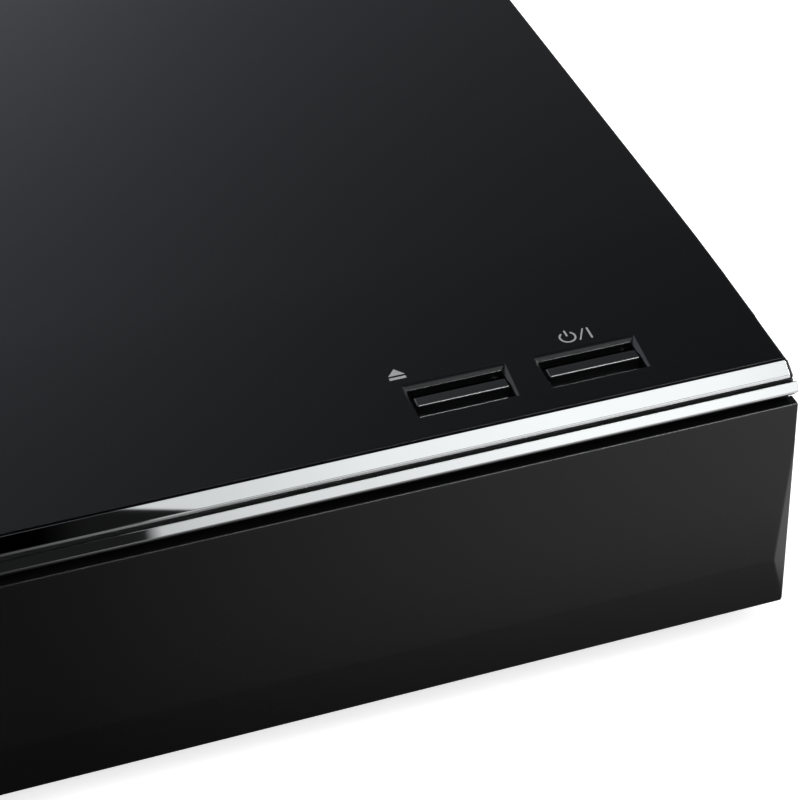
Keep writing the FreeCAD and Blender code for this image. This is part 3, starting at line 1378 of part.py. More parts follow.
# Clamp: a steel bridge over the tray holds the clamper loosely
bridge_z = (rim_z + Sizes.tray_slip + Sizes.drive_wall,
            rim_z + Sizes.tray_slip + Sizes.drive_wall + Sizes.bridge_wall)


def make_clamp_bridge():
    strip = block("bridge_strip", centred(drive_side_x), around(disc_y, Sizes.bridge_width / 2), bridge_z)
    hole = rod("bridge_hole", "z", (0, disc_y), (bridge_z[0] - 1, bridge_z[1] + 1), Sizes.clamp_hole)
    return cut("clamp_bridge", strip, hole)


def make_clamper():
    low = rim_z + Sizes.clamper_gap
    base = bridge_z[1] + Sizes.clamper_gap
    flange, core = Sizes.clamper_flange, Sizes.clamper_radius
    step = base - low
    points = [(8.6, 0), (core - 0.6, 0), (core, 0.6), (core, step), (flange, step), (flange, step + 1.2),
              (0, step + 1.2), (0, step - 0.2), (8.6, step - 0.2)]
    return turned("clamper", "z", points, (0, disc_y), low)


# Rubber grommets and screws that hold the drive
def make_drive_grommets():
    rings = []
    for place in lug_places:
        points = [(Sizes.screw_radius + 0.3, 0), (Sizes.screw_radius + 3, 0), (Sizes.screw_radius + 3, 1),
                  (Sizes.screw_radius + 1.55, 1), (Sizes.screw_radius + 1.55, Sizes.drive_wall + 1),
                  (Sizes.screw_radius + 3, Sizes.drive_wall + 1), (Sizes.screw_radius + 3, Sizes.drive_wall + 2),
                  (Sizes.screw_radius + 0.3, Sizes.drive_wall + 2)]
        rings.append(turned("grommet", "z", points, place, drive_z - 1))
    return group("drive_grommets", *rings)


def screw(axis, centre, seat, length, head_side):
    """A pan-head screw: its head sits on the seat, on the side that head_side points to."""
    if head_side > 0:
        head, shank = (seat, seat + Sizes.screw_head_rise), (seat - length, seat + 0.5)
    else:
        head, shank = (seat - Sizes.screw_head_rise, seat), (seat - 0.5, seat + length)
    body = fuse("screw_body", rod("screw_head", axis, centre, head, Sizes.screw_head),
                rod("screw_shank", axis, centre, shank, Sizes.screw_radius - 0.05))
    top = head[1] if head_side > 0 else head[0]
    slots = []
    for wide, narrow in ((1.7, 0.35), (0.35, 1.7)):
        spans = {"x": (wide, narrow), "y": (wide, narrow), "z": (wide, narrow)}[axis]
        sides = dict(zip(OTHERS[axis], (around(centre[0], spans[0]), around(centre[1], spans[1]))))
        sides[axis] = (top - 0.8, top + 0.5) if head_side > 0 else (top - 0.5, top + 0.8)
        slots.append(block("screw_slot", sides["x"], sides["y"], sides["z"]))
    return cut("screw", body, *slots)


def make_inner_screws():
    seat = drive_floor_z + 1
    screws = [screw("z", place, seat, 5.5, 1) for place in lug_places]
    return group("inner_screws", *screws, *[screw("z", place, board_top_z, 5, 1) for place in board_posts])


def make_casing_screws():
    screws = []
    for sign, y in side_screw_places:
        seat = sign * (side_x - Sizes.screw_head_rise)
        screws.append(screw("x", (y, side_screw_z), seat, 3.4, sign))
    screws += [screw("y", (x, rear_screw_z), rear_y, 7, 1) for x in rear_screw_places]
    screws += [screw("y", (x, rear_tab_z), rear_y, 2.4, 1) for x in rear_tab_places]
    screws += [screw("y", place, rear_y, 6, 1) for place in fan_screw_places]
    return group("casing_screws", *screws)


# Main board and what stands on it
def board_with_holes(name, x, y, posts, *cuts):
    plate = block(name + "_plate", x, y, (board_z, board_top_z))
    holes = [rod("board_hole", "z", place, (board_z - 1, board_top_z + 1), Sizes.screw_radius + 0.1)
             for place in posts]
    return cut(name, plate, *holes, *cuts)


chip_share = 0.504
chip_x = along(main_x, chip_share)
chip_y = main_y[0] + 50
chip_top_z = board_top_z + 2
chips = [(0, 0, 15, 15, 2.0), (-0.26, 8, 5, 4, 1.1), (-0.26, -6, 5, 4, 1.1), (0, 30, 9, 5, 1.3),
         (-0.245, 34, 6, 6, 1.2), (0.313, 6, 7, 7, 1.4), (0.313, -20, 4, 6, 1.2), (-0.02, -30, 8, 4, 1.6)]


def make_board_chips():
    packages = []
    for share, back, half_x, half_y, tall in chips:
        place = along(main_x, chip_share + share)
        packages.append(block("chip", around(place, half_x), around(chip_y + back, half_y),
                              (board_top_z, board_top_z + tall)))
    return group("board_chips", *packages)


def make_heat_sink():
    half, tall, count = 24.0, 16.0, 11
    base = block("sink_base", around(chip_x, half), around(chip_y, half - 4), (chip_top_z, chip_top_z + 3))
    pitch = (2 * half - 1.4) / (count - 1)
    fins = [block("sink_fin", (chip_x - half + index * pitch, chip_x - half + index * pitch + 1.4),
                  around(chip_y, half - 4), (chip_top_z + 2, chip_top_z + tall)) for index in range(count)]
    return fuse("heat_sink", base, *fins)


cans = [(along(main_x, 0.105), main_y[0] + 16, 4.0, 11.0), (along(main_x, 0.105), main_y[0] + 28, 4.0, 11.0),
        (along(main_x, 0.913), main_y[0] + 14, 3.2, 8.0), (along(main_x, 0.913), main_y[0] + 24, 3.2, 8.0),
        (along(main_x, 0.12), main_y[0] + 96, 3.2, 8.0), (along(main_x, 0.21), main_y[0] + 96, 3.2, 8.0),
        (along(power_x, 0.305), power_y[0] + 52, 11.0, 30.0), (along(power_x, 0.833), power_y[0] + 14, 5.0, 20.0),
        (along(power_x, 0.833), power_y[0] + 28, 5.0, 20.0), (along(power_x, 0.833), power_y[0] + 42, 4.0, 14.0)]


def make_capacitors():
    """Upright cans, each with the rolled neck near its foot."""
    items = []
    for x, y, radius, tall in cans:
        points = [(0, 0), (radius, 0), (radius, 1.2), (radius - 0.4, 1.7), (radius, 2.2), (radius, tall - 0.5),
                  (radius - 0.5, tall), (0, tall)]
        items.append(turned("can", "z", points, (x, y), board_top_z))
    return group("capacitors", *items)


plugs = [(along(main_x, 0.061), main_y[0] + 74, 3.0, 11.0, 6.0),
         (along(main_x, 0.226), main_y[0] + 6, 10.0, 2.6, 4.0),
         (power_x[1] - 8, power_y[0] + 56, 3.0, 7.0, 6.0)]


def make_board_connectors():
    items = [block("connector", around(x, half_x), around(y, half_y), (board_top_z, board_top_z + tall))
             for x, y, half_x, half_y, tall in plugs]
    return group("board_connectors", *items)


# Power board: its transformer and the mains inlet
def make_power_transformer():
    x, y = along(power_x, 0.55), power_y[0] + 78
    core = block("transformer_core", around(x, 16), around(y, 7), (board_top_z + 3, board_top_z + 27))
    bobbin = block("transformer_bobbin", around(x, 11.5), around(y, 13), (board_top_z, board_top_z + 24))
    return fuse("power_transformer", core, bobbin)


def make_mains_inlet():
    """A figure-eight inlet: a block with a deep recess round two contacts."""
    depth = (rear_inner_y - 16, rear_y + Sizes.inlet_reach)
    middle_x = (inlet_x[0] + inlet_x[1]) / 2
    middle_z = (inlet_z[0] + inlet_z[1]) / 2
    body = block("inlet_body", (inlet_x[0], inlet_x[1]), depth, (inlet_z[0] + 0.5, inlet_z[1]))
    rounds = [rod("inlet_round", "y", (middle_x + a * 4.3, middle_z), (depth[1] - 11, depth[1] + 1), 3.9)
              for a in (-1, 1)]
    waist = block("inlet_waist", around(middle_x, 4.3), (depth[1] - 11, depth[1] + 1), around(middle_z, 3.3))
    holes = [rod("contact_hole", "y", (middle_x + a * 4.3, middle_z), (depth[0] + 2, depth[1]), 1.2)
             for a in (-1, 1)]
    return cut("mains_inlet", body, *rounds, waist, *holes)


def make_inlet_contacts():
    y = rear_y + Sizes.inlet_reach
    middle_x = (inlet_x[0] + inlet_x[1]) / 2
    middle_z = (inlet_z[0] + inlet_z[1]) / 2
    pins = [rod("contact", "y", (middle_x + a * 4.3, middle_z), (rear_inner_y - 14, y - 2), 1.2)
            for a in (-1, 1)]
    return group("inlet_contacts", *pins)


# Rear sockets on the main board
def make_optical_port():
    x, depth = optical_x, (rear_inner_y - 10, rear_y + 0.6)
    low = board_top_z
    back = block("optical_back", x, (rear_inner_y - 10, rear_inner_y - 0.1), (low, low + 12.5))
    nose = block("optical_nose", (x[0] + 1, x[1] - 1), depth, (low + 1.5, low + 11.5))
    hole = block("optical_mouth", (x[0] + 3, x[1] - 3), (rear_y - 4, rear_y + 2), (low + 3, low + 10))
    return cut("optical_port", fuse("optical_body", back, nose), hole)


def make_hdmi_ports():
    ports = []
    wall = 0.5
    low, high = board_top_z, board_top_z + Sizes.hdmi_rise
    for edges in hdmi_spans:
        span = (rear_inner_y - 10.5, rear_y + 0.6)
        shell = block("hdmi_shell", edges, span, (low + 0.5, high))
        feet = block("hdmi_feet", (edges[0] + 1, edges[1] - 1), (span[0], span[0] + 9), (low, low + 0.6))
        inside = block("hdmi_inside", (edges[0] + wall, edges[1] - wall), (span[0] + wall, span[1] + 1),
                       (low + 0.5 + wall, high - wall))
        tongue = block("hdmi_tongue", (edges[0] + 2, edges[1] - 2), (span[0], span[1] - 1.5),
                       (low + 2.6, low + 3.8))
        ports.append(fuse("hdmi_port", cut("hdmi_box", shell, inside), tongue, feet))
    return group("hdmi_ports", *ports)


lan_hollow = ((lan_x[0] + 2, lan_x[1] - 2), (rear_y - 11, rear_y + 0.6), (board_top_z + 3.5, board_top_z + 10.5))


def make_lan_port():
    span = (rear_inner_y - 15, rear_y + 0.6)
    body = block("lan_body", lan_x, span, (board_top_z, board_top_z + Sizes.lan_rise))
    (x, y, z) = lan_hollow
    hollow = block("lan_hollow", x, (y[0], y[1] + 1), z)
    latch = block("lan_latch", around((x[0] + x[1]) / 2, 3), (y[0] + 3, y[1] + 1), (z[1] - 0.1, z[1] + 1.8))
    step = block("lan_step", (lan_x[0] - 1, lan_x[1] + 1), (rear_inner_y - 1, rear_y + 1),
                 (board_top_z - 1, board_top_z + 0.5))
    return cut("lan_port", body, hollow, latch, step)


def make_audio_jack_block():
    """The moulded block that carries the round jacks, and the small one over the optical port."""
    span = (rear_inner_y - 14, rear_inner_y - 0.1)
    low, high = board_top_z, jack_rows[1] + Sizes.jack_pitch / 2
    edge = jack_columns[0] + Sizes.jack_pitch / 2
    main = block("jack_body", (edge - 4 * Sizes.jack_pitch, edge), span, (low, high))
    small = block("coaxial_body", (optical_x[0], optical_x[1]), span, (low + 13, high))
    leg = block("coaxial_leg", optical_x, (span[0], span[0] + 3.5), (low, high))
    sockets = [rod("jack_seat", "y", place, (span[0] + 2, span[1] + 1), Sizes.jack_stem)
               for place in jack_places + [coaxial_place]]
    return group("audio_jack_block", cut("jack_main", main, *sockets[:-1]),
                 cut("jack_small", fuse("coaxial_solid", small, leg), sockets[-1]))


def make_audio_jack_rings():
    """A barrel with its bore for each plug, standing out to the player's rearmost face."""
    rings = []
    proud = rear_y + Sizes.collar_proud
    for place in jack_places + [coaxial_place]:
        stem = rod("jack_stem", "y", place, (rear_inner_y - 12, proud), Sizes.jack_stem)
        barrel = rod("jack_barrel", "y", place, (proud, rear_y + Sizes.jack_reach), Sizes.jack_radius)
        bore = rod("jack_bore", "y", place, (rear_y - 2, rear_y + Sizes.jack_reach + 1), Sizes.jack_bore)
        rings.append(cut("jack_ring", fuse("jack_solid", stem, barrel), bore))
    return group("audio_jack_rings", *rings)


def make_jack_collars():
    """The coloured ring round the foot of each barrel."""
    collars = []
    span = (rear_inner_y - 0.1, rear_y + Sizes.collar_proud)
    for place in jack_places + [coaxial_place]:
        ring = rod("collar_ring", "y", place, span, Sizes.jack_stem + Sizes.collar_wall)
        hole = rod("collar_hole", "y", place, (span[0] - 1, span[1] + 1), Sizes.jack_stem)
        collars.append(cut("jack_collar", ring, hole))
    return group("jack_collars", *collars)


# Fan: a frame on the rear panel and a bladed rotor
def make_fan_frame():
    half = Sizes.fan_side / 2
    body = block("fan_body", around(fan_x, half), fan_y, around(fan_z, half))
    throat = rod("fan_throat", "y", (fan_x, fan_z), (fan_y[0] + 2, fan_y[1] + 1), Sizes.fan_bore)
    mouth = rod("fan_mouth", "y", (fan_x, fan_z), (fan_y[0] - 1, fan_y[0] + 2.1), Sizes.fan_bore)
    hub = rod("fan_seat", "y", (fan_x, fan_z), (fan_y[0], fan_y[0] + 1.5), Sizes.fan_hub)
    struts = [block("fan_strut_x", around(fan_x, Sizes.fan_bore + 0.5), (fan_y[0], fan_y[0] + 1.5),
                    around(fan_z, 1.2)),
              block("fan_strut_z", around(fan_x, 1.2), (fan_y[0], fan_y[0] + 1.5),
                    around(fan_z, Sizes.fan_bore + 0.5))]
    holes = [rod("fan_hole", "y", place, (fan_y[0] - 1, fan_y[1] + 1), Sizes.screw_radius)
             for place in fan_screw_places]
    ring = cut("fan_ring", body, throat, mouth, *holes)
    axle = rod("fan_axle", "y", (fan_x, fan_z), (fan_y[0] + 1, fan_y[0] + 7), 1.0)
    return fuse("fan_frame", ring, hub, axle, *struts)


def make_fan_rotor():
    """Seven blades twisted about the hub: each is a slanted plate from the hub to near the bore."""
    span = (fan_y[0] + 2.0, fan_y[1] - 0.8)
    hub = rod("rotor_hub", "y", (fan_x, fan_z), span, Sizes.fan_hub)
    reach = Sizes.fan_bore.value - Sizes.blade_gap.value
    count, sweep, wall = 7, math.radians(34), 1.0
    deep = span[1].value - span[0].value - 1.0
    blades = []
    for index in range(count):
        start = 2 * math.pi * index / count
        inner, outer = Sizes.fan_hub.value - 1.0, reach
        sections = []
        for radius in (inner, outer):
            turn = sweep * (1 if radius == inner else 0.8)
            first = Vector(radius * math.cos(start), 0.5, radius * math.sin(start))
            second = Vector(radius * math.cos(start + turn), 0.5 + deep, radius * math.sin(start + turn))
            along = (second - first).normalize()
            across = along.cross(Vector(math.cos(start), 0, math.sin(start))).normalize() * wall / 2
            corners = [first - across, first + across, second + across, second - across]
            sections.append(Part.makePolygon(corners + corners[:1]))
        blades.append(Part.makeLoft(sections, True, True))
    fan = formed("rotor_blades", Part.makeCompound(blades))
    fan.Placement = Placement(Vector(fan_x.value, span[0].value, fan_z.value), Rotation())
    rim = rod("rotor_rim", "y", (fan_x, fan_z), span, Sizes.fan_bore - Sizes.blade_gap)
    trimmed = shared("rotor_trim", fan, rim)
    bore = rod("rotor_bore", "y", (fan_x, fan_z), (span[0] - 1, fan_y[0] + 7.3), 1.0 + Sizes.running_gap)
    return cut("fan_rotor", fuse("rotor_solid", hub, trimmed), bore)


# Cables inside the casing
def ribbon(name, points, span, wall):
    """A flat cable: a strip of even thickness along straight runs in Y and Z."""
    upper = []
    for index, (y, z) in enumerate(points):
        before = points[max(index - 1, 0)]
        after = points[min(index + 1, len(points) - 1)]
        run = (after[0].value - before[0].value, after[1].value - before[1].value)
        length = math.hypot(*run)
        upper.append((y + wall * run[1] / length, z - wall * run[0] / length))
    return pad(name, "x", points + upper[::-1], span)


def make_front_ribbon_cable():
    x = around(plugs[1][0], 8)
    top = board_top_z + 4
    y = main_y[0] + 6
    back = display_y[1]
    points = [(y + 2, top), (y - 2, top), (y - 12, top + 3), (back + 8, top + 6), (back, top + 10),
              (back, top + 16)]
    return ribbon("front_ribbon_cable", points, x, 0.4)


def make_wiring_harness():
    """A bundle of wires from the power board to the main board, over the back of the drive."""
    radius = 2.0
    z = board_top_z.value + 6 + radius
    start = Vector(plugs[2][0].value, plugs[2][1].value + 7, z)
    end = Vector(plugs[0][0].value, plugs[0][1].value - 9, z)
    back = drive_rear_y.value - 22
    over = rim_z.value + Sizes.tray_slip.value + Sizes.drive_wall.value + 0.5 + radius
    side = lug_end_x.value + 3
    corners = [start, Vector(-side, start.y, z), Vector(-side, back, z), Vector(-side, back, over),
               Vector(side, back, over), Vector(side, back, z), Vector(side, end.y, z), end]
    return formed("wiring_harness", tube_along(corners, radius))


def tube_along(corners, radius):
    """A round tube on straight runs joined by tangent arcs."""
    edges = []
    begin = corners[0]
    for before, corner, after in zip(corners, corners[1:], corners[2:]):
        first, second = (before - corner), (after - corner)
        turn = math.pi - first.getAngle(second)
        reach = min(8.0, 0.45 * first.Length, 0.45 * second.Length)
        entry = corner + first.normalize() * reach
        leave = corner + second.normalize() * reach
        bend = reach / math.tan(turn / 2)
        inward = (first + second).normalize()
        middle = corner + inward * (math.hypot(bend, reach) - bend)
        edges.append(Part.LineSegment(begin, entry).toShape())
        edges.append(Part.Arc(entry, middle, leave).toShape())
        begin = leave
    edges.append(Part.LineSegment(begin, corners[-1]).toShape())
    path = Part.Wire(edges)
    start = corners[0]
    ring = Part.Wire(Part.makeCircle(radius, start, (corners[1] - start)))
    return path.makePipeShell([ring], True, False)


# The player, piece by piece
node("top_cover", make_top_cover())
node("chassis_base", make_chassis_base())
node("rear_panel", make_rear_panel())
node("front_fascia", make_front_fascia())
node("front_door", make_front_door())
node("door_hinge_pins", make_hinge_pins())
node("upper_trim", pad("upper_trim", "x", upper_trim_points, centred(side_x - Sizes.trim_cheek)))
node("lower_trim", pad("lower_trim", "x", lower_trim_points, centred(half_width)))
node("feet", make_feet())
for key_name, key_x in key_places.items():
    node(key_name + "_button", make_key(key_name + "_button", key_x))
node("button_board", make_button_board())
node("button_switches", make_button_switches())
node("display_window", make_display_window())
node("display_tube", make_display_tube())
node("display_board", make_display_board())
node("front_usb_port", make_front_usb_port())
node("usb_board", make_usb_board())
node("drive_frame", make_drive_frame())
node("disc_tray", make_disc_tray())
node("tray_lid", make_tray_lid())
node("drive_gear", make_drive_gear())
node("pulley_gear", make_pulley_gear())
node("motor_pulley", make_motor_pulley())
node("loading_motor", make_loading_motor())
node("loading_belt", make_loading_belt())
node("lift_cam", make_lift_cam())
node("traverse_frame", make_traverse_frame())
node("spindle_motor", make_spindle_motor())
node("turntable", make_turntable())
node("guide_rods", make_guide_rods())
node("optical_pickup", make_optical_pickup())
node("pickup_lens", make_pickup_lens())
node("lead_screw", make_lead_screw())
node("sled_motor", make_sled_motor())
node("clamp_bridge", make_clamp_bridge())
node("clamper", make_clamper())
node("drive_grommets", make_drive_grommets())
node("inner_screws", make_inner_screws())
node("casing_screws", make_casing_screws())
node("main_board", board_with_holes("main_board", main_x, main_y, board_posts[:4]))
node("board_chips", make_board_chips())
node("heat_sink", make_heat_sink())
node("capacitors", make_capacitors())
node("board_connectors", make_board_connectors())
node("power_board", board_with_holes("power_board", power_x, power_y, board_posts[4:]))
node("power_transformer", make_power_transformer())
node("mains_inlet", make_mains_inlet())
node("inlet_contacts", make_inlet_contacts())
node("optical_port", make_optical_port())
node("hdmi_ports", make_hdmi_ports())
node("lan_port", make_lan_port())
node("audio_jack_block", make_audio_jack_block())
node("audio_jack_rings", make_audio_jack_rings())
node("jack_collars", make_jack_collars())
node("fan_frame", make_fan_frame())
node("fan_rotor", make_fan_rotor())
node("front_ribbon_cable", make_front_ribbon_cable())
node("wiring_harness", make_wiring_harness())

doc.recompute()

# Every object has to be sound before anything is written
for item in doc.Objects:
    if "Invalid" in item.State or "Error" in item.State:
        raise RuntimeError(f"{item.Name} ({item.Label}) failed: {item.State}")
for name, item in nodes.items():
    shape = item.Shape
    if shape.isNull() or not shape.isValid() or not shape.Solids:
        raise RuntimeError(f"{name} has no sound shape")

os.makedirs("parts", exist_ok=True)
for name, item in nodes.items():
    item.Shape.exportStep(f"parts/{name}.step")
print(len(nodes), "sub-parts written")
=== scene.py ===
import math

import bmesh
import bpy
import numpy as np
from mathutils import Matrix, Vector


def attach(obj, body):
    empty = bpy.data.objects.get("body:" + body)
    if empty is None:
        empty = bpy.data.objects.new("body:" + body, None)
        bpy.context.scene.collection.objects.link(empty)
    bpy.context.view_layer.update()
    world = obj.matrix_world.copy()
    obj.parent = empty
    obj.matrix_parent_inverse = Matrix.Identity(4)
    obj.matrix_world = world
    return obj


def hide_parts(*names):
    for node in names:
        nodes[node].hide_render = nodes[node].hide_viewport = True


# The frame: every construction node of the disc player, at its real place.
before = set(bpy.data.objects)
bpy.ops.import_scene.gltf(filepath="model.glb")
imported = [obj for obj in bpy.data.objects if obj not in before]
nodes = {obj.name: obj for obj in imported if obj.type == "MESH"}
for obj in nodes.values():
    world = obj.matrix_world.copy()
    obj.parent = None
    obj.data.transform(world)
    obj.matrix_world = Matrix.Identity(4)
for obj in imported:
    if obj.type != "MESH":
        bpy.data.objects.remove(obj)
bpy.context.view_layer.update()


# Camera: close to the front right corner and above it, a long lens looking down and to the left.
# Its three axes and its place were worked out from the straight edges of the door, trims and cover.
camera_place = Vector((0.07376, -0.36281, 0.27346))
camera_axes = Matrix(((0.95441, 0.21063, -0.21153),
                      (-0.29546, 0.56553, -0.76998),
                      (-0.04255, 0.79738, 0.60198)))
camera_data = bpy.data.cameras.new("close_view")
camera_data.sensor_fit = "HORIZONTAL"
camera_data.sensor_width = 36.0
camera_data.lens = 97.76
camera_data.clip_start = 0.01
camera_data.clip_end = 20.0
camera = bpy.data.objects.new("close_view", camera_data)
camera.matrix_world = Matrix.LocRotScale(camera_place, camera_axes, None)
bpy.context.scene.collection.objects.link(camera)
bpy.context.scene.camera = camera
bpy.context.scene.view_settings.view_transform = "Standard"


# Studio floor: a white sheet that lies flat under the player and bends up behind it into the backdrop.
# The camera sees it white and lit; gloss sees it shaded off in front of the player, towards the left.
MM = 0.001


def grid_surface(x, y, z, closed=False):
    """A surface on a grid: x, y and z are equal arrays of places in millimetres, one row per step of the
    first parameter and one column per step of the second. Each four neighbours make a face, and closed joins
    the last column to the first. Returns the places in metres and the faces."""
    places = np.stack([x, y, z], axis=-1).reshape(-1, 3) * MM
    index = np.arange(x.size).reshape(x.shape)
    if closed:
        index = np.hstack([index, index[:, :1]])
    corners = [index[:-1, :-1], index[1:, :-1], index[1:, 1:], index[:-1, 1:]]
    return places, np.stack(corners, axis=-1).reshape(-1, 4)


def new_piece(name, surfaces):
    """One object from several surfaces: their places one after the other, and their faces counted on."""
    all_places = [places for places, faces in surfaces]
    starts = np.cumsum([0] + [len(places) for places in all_places[:-1]])
    all_faces = [faces + start for start, (places, faces) in zip(starts, surfaces)]
    mesh = bpy.data.meshes.new(name)
    mesh.from_pydata(np.vstack(all_places), [], np.vstack(all_faces))
    mesh.validate()
    piece = bpy.data.objects.new(name, mesh)
    bpy.context.scene.collection.objects.link(piece)
    return piece


floor_half_width = 2600
floor_near_edge = -2000
floor_flat = 3600
floor_bend_radius = 900
floor_bend_from = 0.7    # the share of its steps that lies flat
floor_under_feet = 0.05
floor_run, floor_side = np.meshgrid(
    np.linspace(0, 1, 40), np.linspace(-floor_half_width, floor_half_width, 3), indexing="ij")
floor_turn = np.clip((floor_run - floor_bend_from) / (1 - floor_bend_from), 0, None) * math.pi / 2
floor_along = np.minimum(floor_run / floor_bend_from, 1) * floor_flat
floor_depth = floor_near_edge + floor_along + np.sin(floor_turn) * floor_bend_radius
floor_height = (1 - np.cos(floor_turn)) * floor_bend_radius - floor_under_feet
floor_places, floor_faces = grid_surface(floor_side, floor_depth, floor_height)
floor = new_piece("studio_floor", [(floor_places, floor_faces[:, ::-1])])


def new_material(name):
    """An empty material and its node tree."""
    material = bpy.data.materials.new(name)
    material.use_nodes = True
    material.node_tree.nodes.clear()
    return material, material.node_tree


def feed(tree, value, socket):
    """Gives a socket its value: a link from another socket, a colour of three parts, or a plain value."""
    if isinstance(value, bpy.types.NodeSocket):
        tree.links.new(value, socket)
    elif socket.type == "RGBA":
        socket.default_value = (*value, 1)
    else:
        socket.default_value = value


def placed(tree, kind, values=None, **settings):
    """Adds a node with its settings, and feeds its sockets by name or number. Returns its outputs."""
    node = tree.nodes.new(kind)
    for label, setting in settings.items():
        setattr(node, label, setting)
    for label, value in (values or {}).items():
        feed(tree, value, node.inputs[label])
    return node.outputs


def maths(tree, operation, *values):
    """One Math node: each value is a socket or a number."""
    return placed(tree, "ShaderNodeMath", dict(enumerate(values)), operation=operation)[0]


def split(tree, vector):
    """The X, Y and Z of a vector."""
    return placed(tree, "ShaderNodeSeparateXYZ", {0: vector})


def object_place(tree):
    """The place of a surface point in the object's own coordinates, which are the player's, in metres."""
    return placed(tree, "ShaderNodeTexCoord")["Object"]


def ranged(tree, value, start, end, low, high, smooth=False):
    """Maps a value from start and end to low and high, held at both ends."""
    return placed(tree, "ShaderNodeMapRange",
                  {"Value": value, "From Min": start, "From Max": end, "To Min": low, "To Max": high},
                  interpolation_type="SMOOTHSTEP" if smooth else "LINEAR")[0]


def mix_shader(tree, share, first, second):
    """Two shaders, and the second one's share."""
    return placed(tree, "ShaderNodeMixShader", {0: share, 1: first, 2: second})[0]


floor_white = (0.82, 0.82, 0.82)
floor_lift = 0.68        # what the camera sees over the lamps' light, so that the sheet is white
floor_material, floor_tree = new_material("studio_white")
floor_x, floor_y, floor_z = split(floor_tree, object_place(floor_tree))

# In the gloss: dark at the left and close to the door, light at the right and beside the player, and again
# darker far out. Behind the door's line it is even.
floor_across = ranged(floor_tree, floor_x, 0.085, 0.30, 0.06, 0.84)
floor_from_door = ranged(floor_tree, floor_y, -0.150, -0.104, 1.0, 0.25)
floor_beside = ranged(floor_tree, floor_x, 0.222, 0.232, 0.0, 1.0)
floor_open = maths(floor_tree, "MAXIMUM", floor_from_door, floor_beside)
floor_ahead = maths(floor_tree, "MULTIPLY", floor_across, floor_open)
floor_behind = ranged(floor_tree, floor_y, -0.105, -0.06, 0.0, 0.7)
floor_round = maths(floor_tree, "MAXIMUM", floor_ahead, floor_behind)
floor_far_out = ranged(floor_tree, floor_x, 0.36, 0.55, 1.0, 0.12)
floor_level = maths(floor_tree, "MULTIPLY", floor_far_out, floor_round)

floor_paint = placed(floor_tree, "ShaderNodeBsdfDiffuse", {"Color": floor_white})[0]
floor_glow = placed(floor_tree, "ShaderNodeEmission", {"Strength": floor_lift})[0]
floor_lit = placed(floor_tree, "ShaderNodeAddShader", {0: floor_paint, 1: floor_glow})[0]
floor_shade = placed(floor_tree, "ShaderNodeEmission", {"Strength": floor_level})[0]
floor_ray = placed(floor_tree, "ShaderNodeLightPath")
floor_seen = mix_shader(floor_tree, floor_ray["Is Camera Ray"], floor_paint, floor_lit)
floor_all = mix_shader(floor_tree, floor_ray["Is Glossy Ray"], floor_seen, floor_shade)
placed(floor_tree, "ShaderNodeOutputMaterial", {"Surface": floor_all})
floor.data.materials.append(floor_material)


# Studio air and lamps: the camera sees plain white round the player, and three soft lamps light it.
# Gloss sees the room instead: behind the player it falls from white at eye level to dark above and to the
# right, and in front stand a low and an overhead soft box, each with a sharp end towards the left.
def ramp(tree, value, stops, stepped=False):
    """Colours or grey shades between (place, colour) stops, run together or in steps."""
    node = tree.nodes.new("ShaderNodeValToRGB")
    if stepped:
        node.color_ramp.interpolation = "CONSTANT"
    for order, (place, colour) in enumerate(stops):
        stop = node.color_ramp.elements[order] if order < 2 else node.color_ramp.elements.new(place)
        stop.position = place
        stop.color = (*colour, 1) if isinstance(colour, tuple) else (colour, colour, colour, 1)
    feed(tree, value, node.inputs[0])
    return node.outputs["Color"]


def mixed(tree, share, first, second, kind="RGBA"):
    """Two colours or vectors, and the second one's share."""
    return placed(tree, "ShaderNodeMix", {"Factor": share, "A": first, "B": second}, data_type=kind)["Result"]


world = bpy.data.worlds.new("studio_air")
bpy.context.scene.world = world
world.use_nodes = True
air = world.node_tree
air.nodes.clear()
air_x, air_y, air_z = split(air, placed(air, "ShaderNodeTexCoord")["Generated"])
air_right = maths(air, "MULTIPLY_ADD", air_x, 0.5, 0.5)

# Behind the player
air_rise = ramp(air, air_z, (
    (0.0, 1.0), (0.4, 0.95), (0.471, 0.66), (0.532, 0.47), (0.58, 0.44), (0.64, 0.42), (0.75, 0.34),
    (1.0, 0.2)))
air_fall = ramp(air, air_right, (
    (0.3, 0.9), (0.5, 0.8), (0.54, 0.625), (0.57, 0.48), (0.6025, 0.35), (0.635, 0.27), (0.6665, 0.205),
    (0.8, 0.12)))
air_behind = maths(air, "MULTIPLY", air_rise, air_fall)

# In front: the low box, the overhead box with its slanted end, and a narrow bright strip between them that
# only the eased edges and the rims of the key wells catch
air_low = ramp(air, air_right, (
    (0.15, 0.3), (0.25, 0.01), (0.5448, 0.012), (0.5464, 0.6), (0.565, 0.73), (0.6, 0.87), (0.64, 1.1),
    (0.675, 1.12), (0.71, 0.98), (0.8, 0.75)))
air_high = ramp(air, air_right, (
    (0.15, 0.3), (0.25, 0.004), (0.52, 0.006), (0.53, 0.68), (0.565, 0.76), (0.6, 0.96), (0.64, 1.1),
    (0.675, 1.08), (0.7, 0.93), (0.8, 0.75)))
air_slant = ranged(air, air_y, -0.252, -0.224, -0.009, 0.009)
air_end = ranged(air, maths(air, "ADD", air_right, air_slant), 0.5455, 0.5485, 0.012, 1.0, smooth=True)
air_over = maths(air, "MULTIPLY", air_high, air_end)
air_strip = ramp(air, air_right, (
    (0.15, 0.1), (0.25, 0.004), (0.535, 0.01), (0.56, 0.3), (0.6, 0.42), (0.64, 0.7), (0.675, 0.8),
    (0.76, 0.7)))
air_strip_gain = 34.0
air_low_band = ramp(air, air_z, ((0.0, 1.0), (0.5, 1.0), (0.54, 0.0)))
